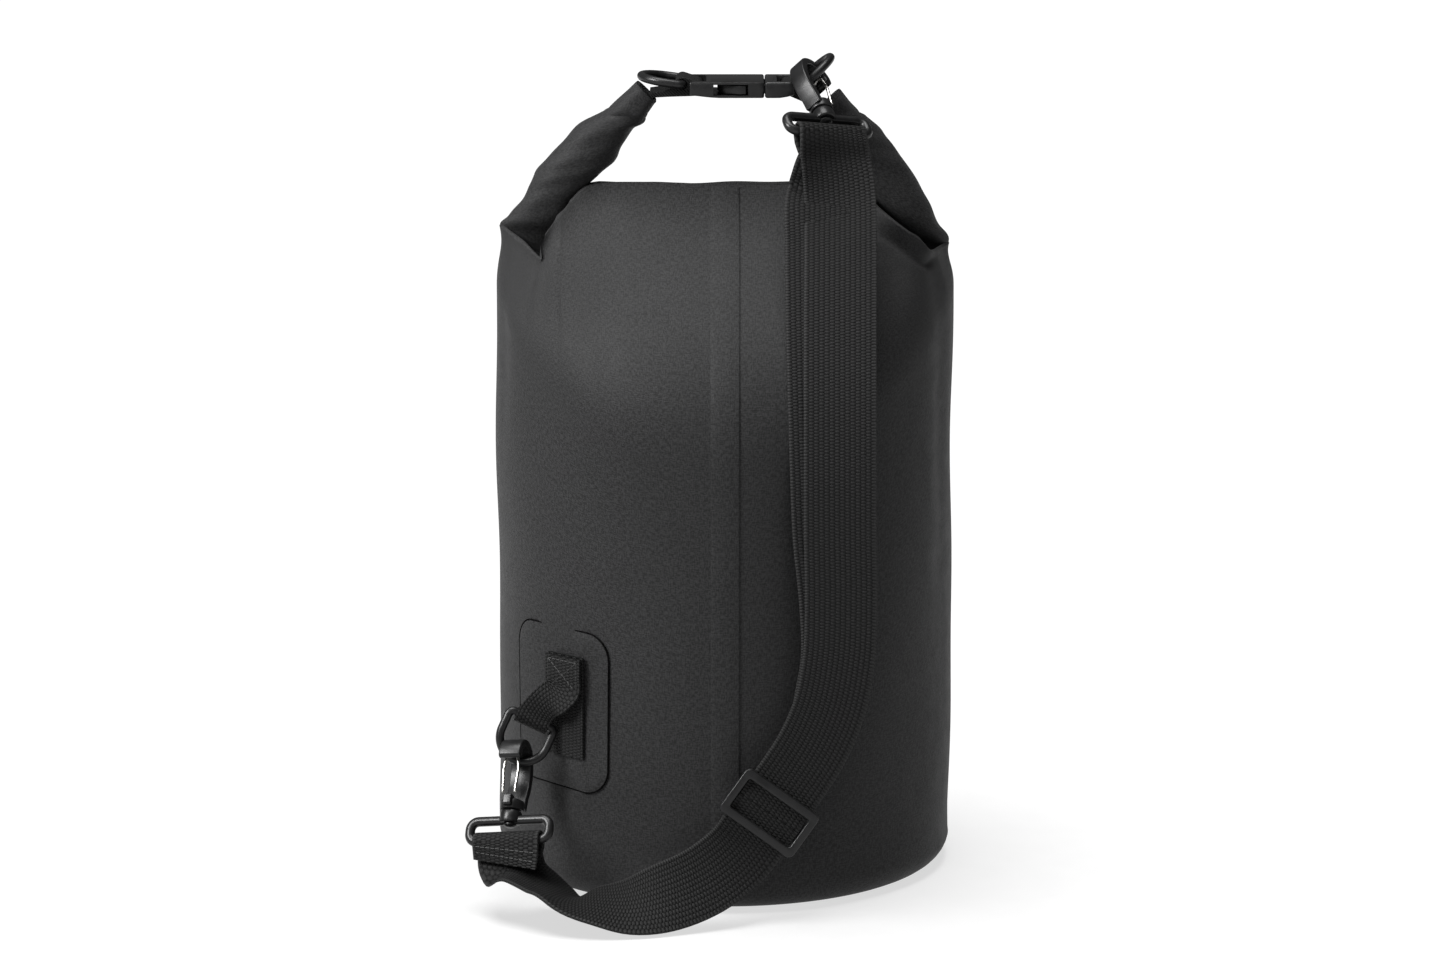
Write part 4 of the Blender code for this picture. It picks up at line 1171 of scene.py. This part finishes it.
def add_buckle():
    """The buckle's mouldings, from the frame's solids with every edge rounded and the underside bowed."""
    half_high = 0.0043
    # Where each end starts to thin.
    socket_taper, plug_taper = -0.003, 0.029
    bodies = {
        "buckle_socket": "bag", "buckle_plug": "plug_end",
        "prong_near": "near_prong", "prong_far": "far_prong",
    }
    for name, body in bodies.items():
        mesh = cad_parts[name].data.copy()
        bm = bmesh.new()
        bm.from_mesh(mesh)
        bmesh.ops.remove_doubles(bm, verts=bm.verts, dist=1e-6)
        bmesh.ops.dissolve_limit(bm, angle_limit=radians(2), verts=bm.verts, edges=bm.edges)
        edges = [edge for edge in bm.edges if edge.is_manifold and edge.calc_face_angle(0) > radians(25)]
        bmesh.ops.bevel(
            bm, geom=edges, offset=0.00045, offset_type="OFFSET", segments=3, profile=0.5, affect="EDGES",
            clamp_overlap=True,
        )
        for step in range(1, 15):
            bmesh.ops.bisect_plane(
                bm, geom=bm.verts[:] + bm.edges[:] + bm.faces[:], plane_no=(1, 0, 0),
                plane_co=(SOCKET_LEFT + 0.004 * step, 0, 0),
            )
        if name.startswith("buckle"):
            for vert in bm.verts:
                low_side = max(0.0, (BUCKLE_Z - vert.co.z) / half_high)
                socket_end = max(0.0, (socket_taper - vert.co.x) / 0.0158)
                plug_end = max(0.0, (vert.co.x - plug_taper) / 0.0082)
                vert.co.z += 0.0017 * low_side * (socket_end**1.5 + plug_end**1.5)
        bm.to_mesh(mesh)
        bm.free()
        piece(name + "_moulding", mesh, ACETAL, body, [name], sharp=30)


# ---- studio


def add_studio():
    bpy.ops.mesh.primitive_plane_add(size=14, location=(0, 0, -0.0004))
    floor = bpy.context.object
    floor.name = "floor"
    # It glows a little, so that the bag's shadow on it is faint.
    glow = {"Emission_Color": (1, 1, 1, 1), "Emission_Strength": 0.66}
    floor.data.materials.append(speckled("floor_paper", 60.0, 3.0, 0.32, 0.34, 0.9, 0.1, **glow))
    world = bpy.data.worlds.new("studio")
    world.use_nodes = True
    sky = world.node_tree.nodes["Background"].inputs
    sky["Color"].default_value = (1, 1, 1, 1)
    sky["Strength"].default_value = 0.1
    bpy.context.scene.world = world
    bpy.context.scene.view_settings.view_transform = "Standard"
    overhead = bpy.data.lights.new("overhead", "SUN")
    overhead.energy = 3.5
    overhead.angle = radians(40)
    placed("overhead", overhead).rotation_euler = (0, radians(-6), 0)
    unlit = bpy.data.collections.new("key_skips")
    unlit.objects.link(floor)
    unlit.collection_objects[0].light_linking.link_state = "EXCLUDE"
    lamps = (("key", (-2.0, -1.1, 1.9), 1.1, 128.0), ("front", (-0.3, -2.6, 1.6), 1.2, 7.0))
    for name, place, size, power in lamps:
        light = bpy.data.lights.new(name, "AREA")
        light.size = size
        light.energy = power
        lamp = placed(name, light)
        lamp.location = place
        aim = Vector((0, 0, 0.22)) - Vector(place)
        lamp.rotation_euler = aim.to_track_quat("-Z", "Y").to_euler()
        lamp.light_linking.receiver_collection = unlit


def add_camera():
    target = Vector((-0.0012, 0, 0.2083))
    elevation = radians(12)
    forward = Vector((0, cos(elevation), -sin(elevation)))
    camera = bpy.data.cameras.new("camera")
    camera.sensor_width = 36
    camera.lens = 137.65
    holder = placed("camera", camera)
    holder.location = target - forward * 3.0
    holder.rotation_euler = forward.to_track_quat("-Z", "Y").to_euler()
    bpy.context.scene.camera = holder


add_camera()
add_studio()
add_body()
add_seam()
add_patch()
add_roll()
add_arm("arm_left", LEFT_ARM, LEFT_BAND, "bag", ["left_arm"])
arm, band = add_arm("arm_right", RIGHT_ARM, RIGHT_BAND, None, ["right_arm", "right_arm_tip"])
for soft in (arm, band):
    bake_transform(soft)
add_straps()
add_lower_tab()
add_tab("left", "bag", SOCKET_BAR_X, LEFT_RING_BAR, (-100, 70), (75, 190), LEFT_TAIL)
add_tab("right", "plug_end", PLUG_BAR_X, RIGHT_RING_BAR, (280, 110), (105, -20), RIGHT_TAIL)
add_rings()
add_clip("upper", UPPER_CLIP, UPPER_TURN, UPPER_HOOK_BROAD, "upper_clip", "upper_clip_gate", "plug_end")
add_clip("lower", LOWER_CLIP, LOWER_TURN, LOWER_HOOK_BROAD, "lower_clip", "lower_clip_gate", "strap_foot")
add_slider()
add_buckle()
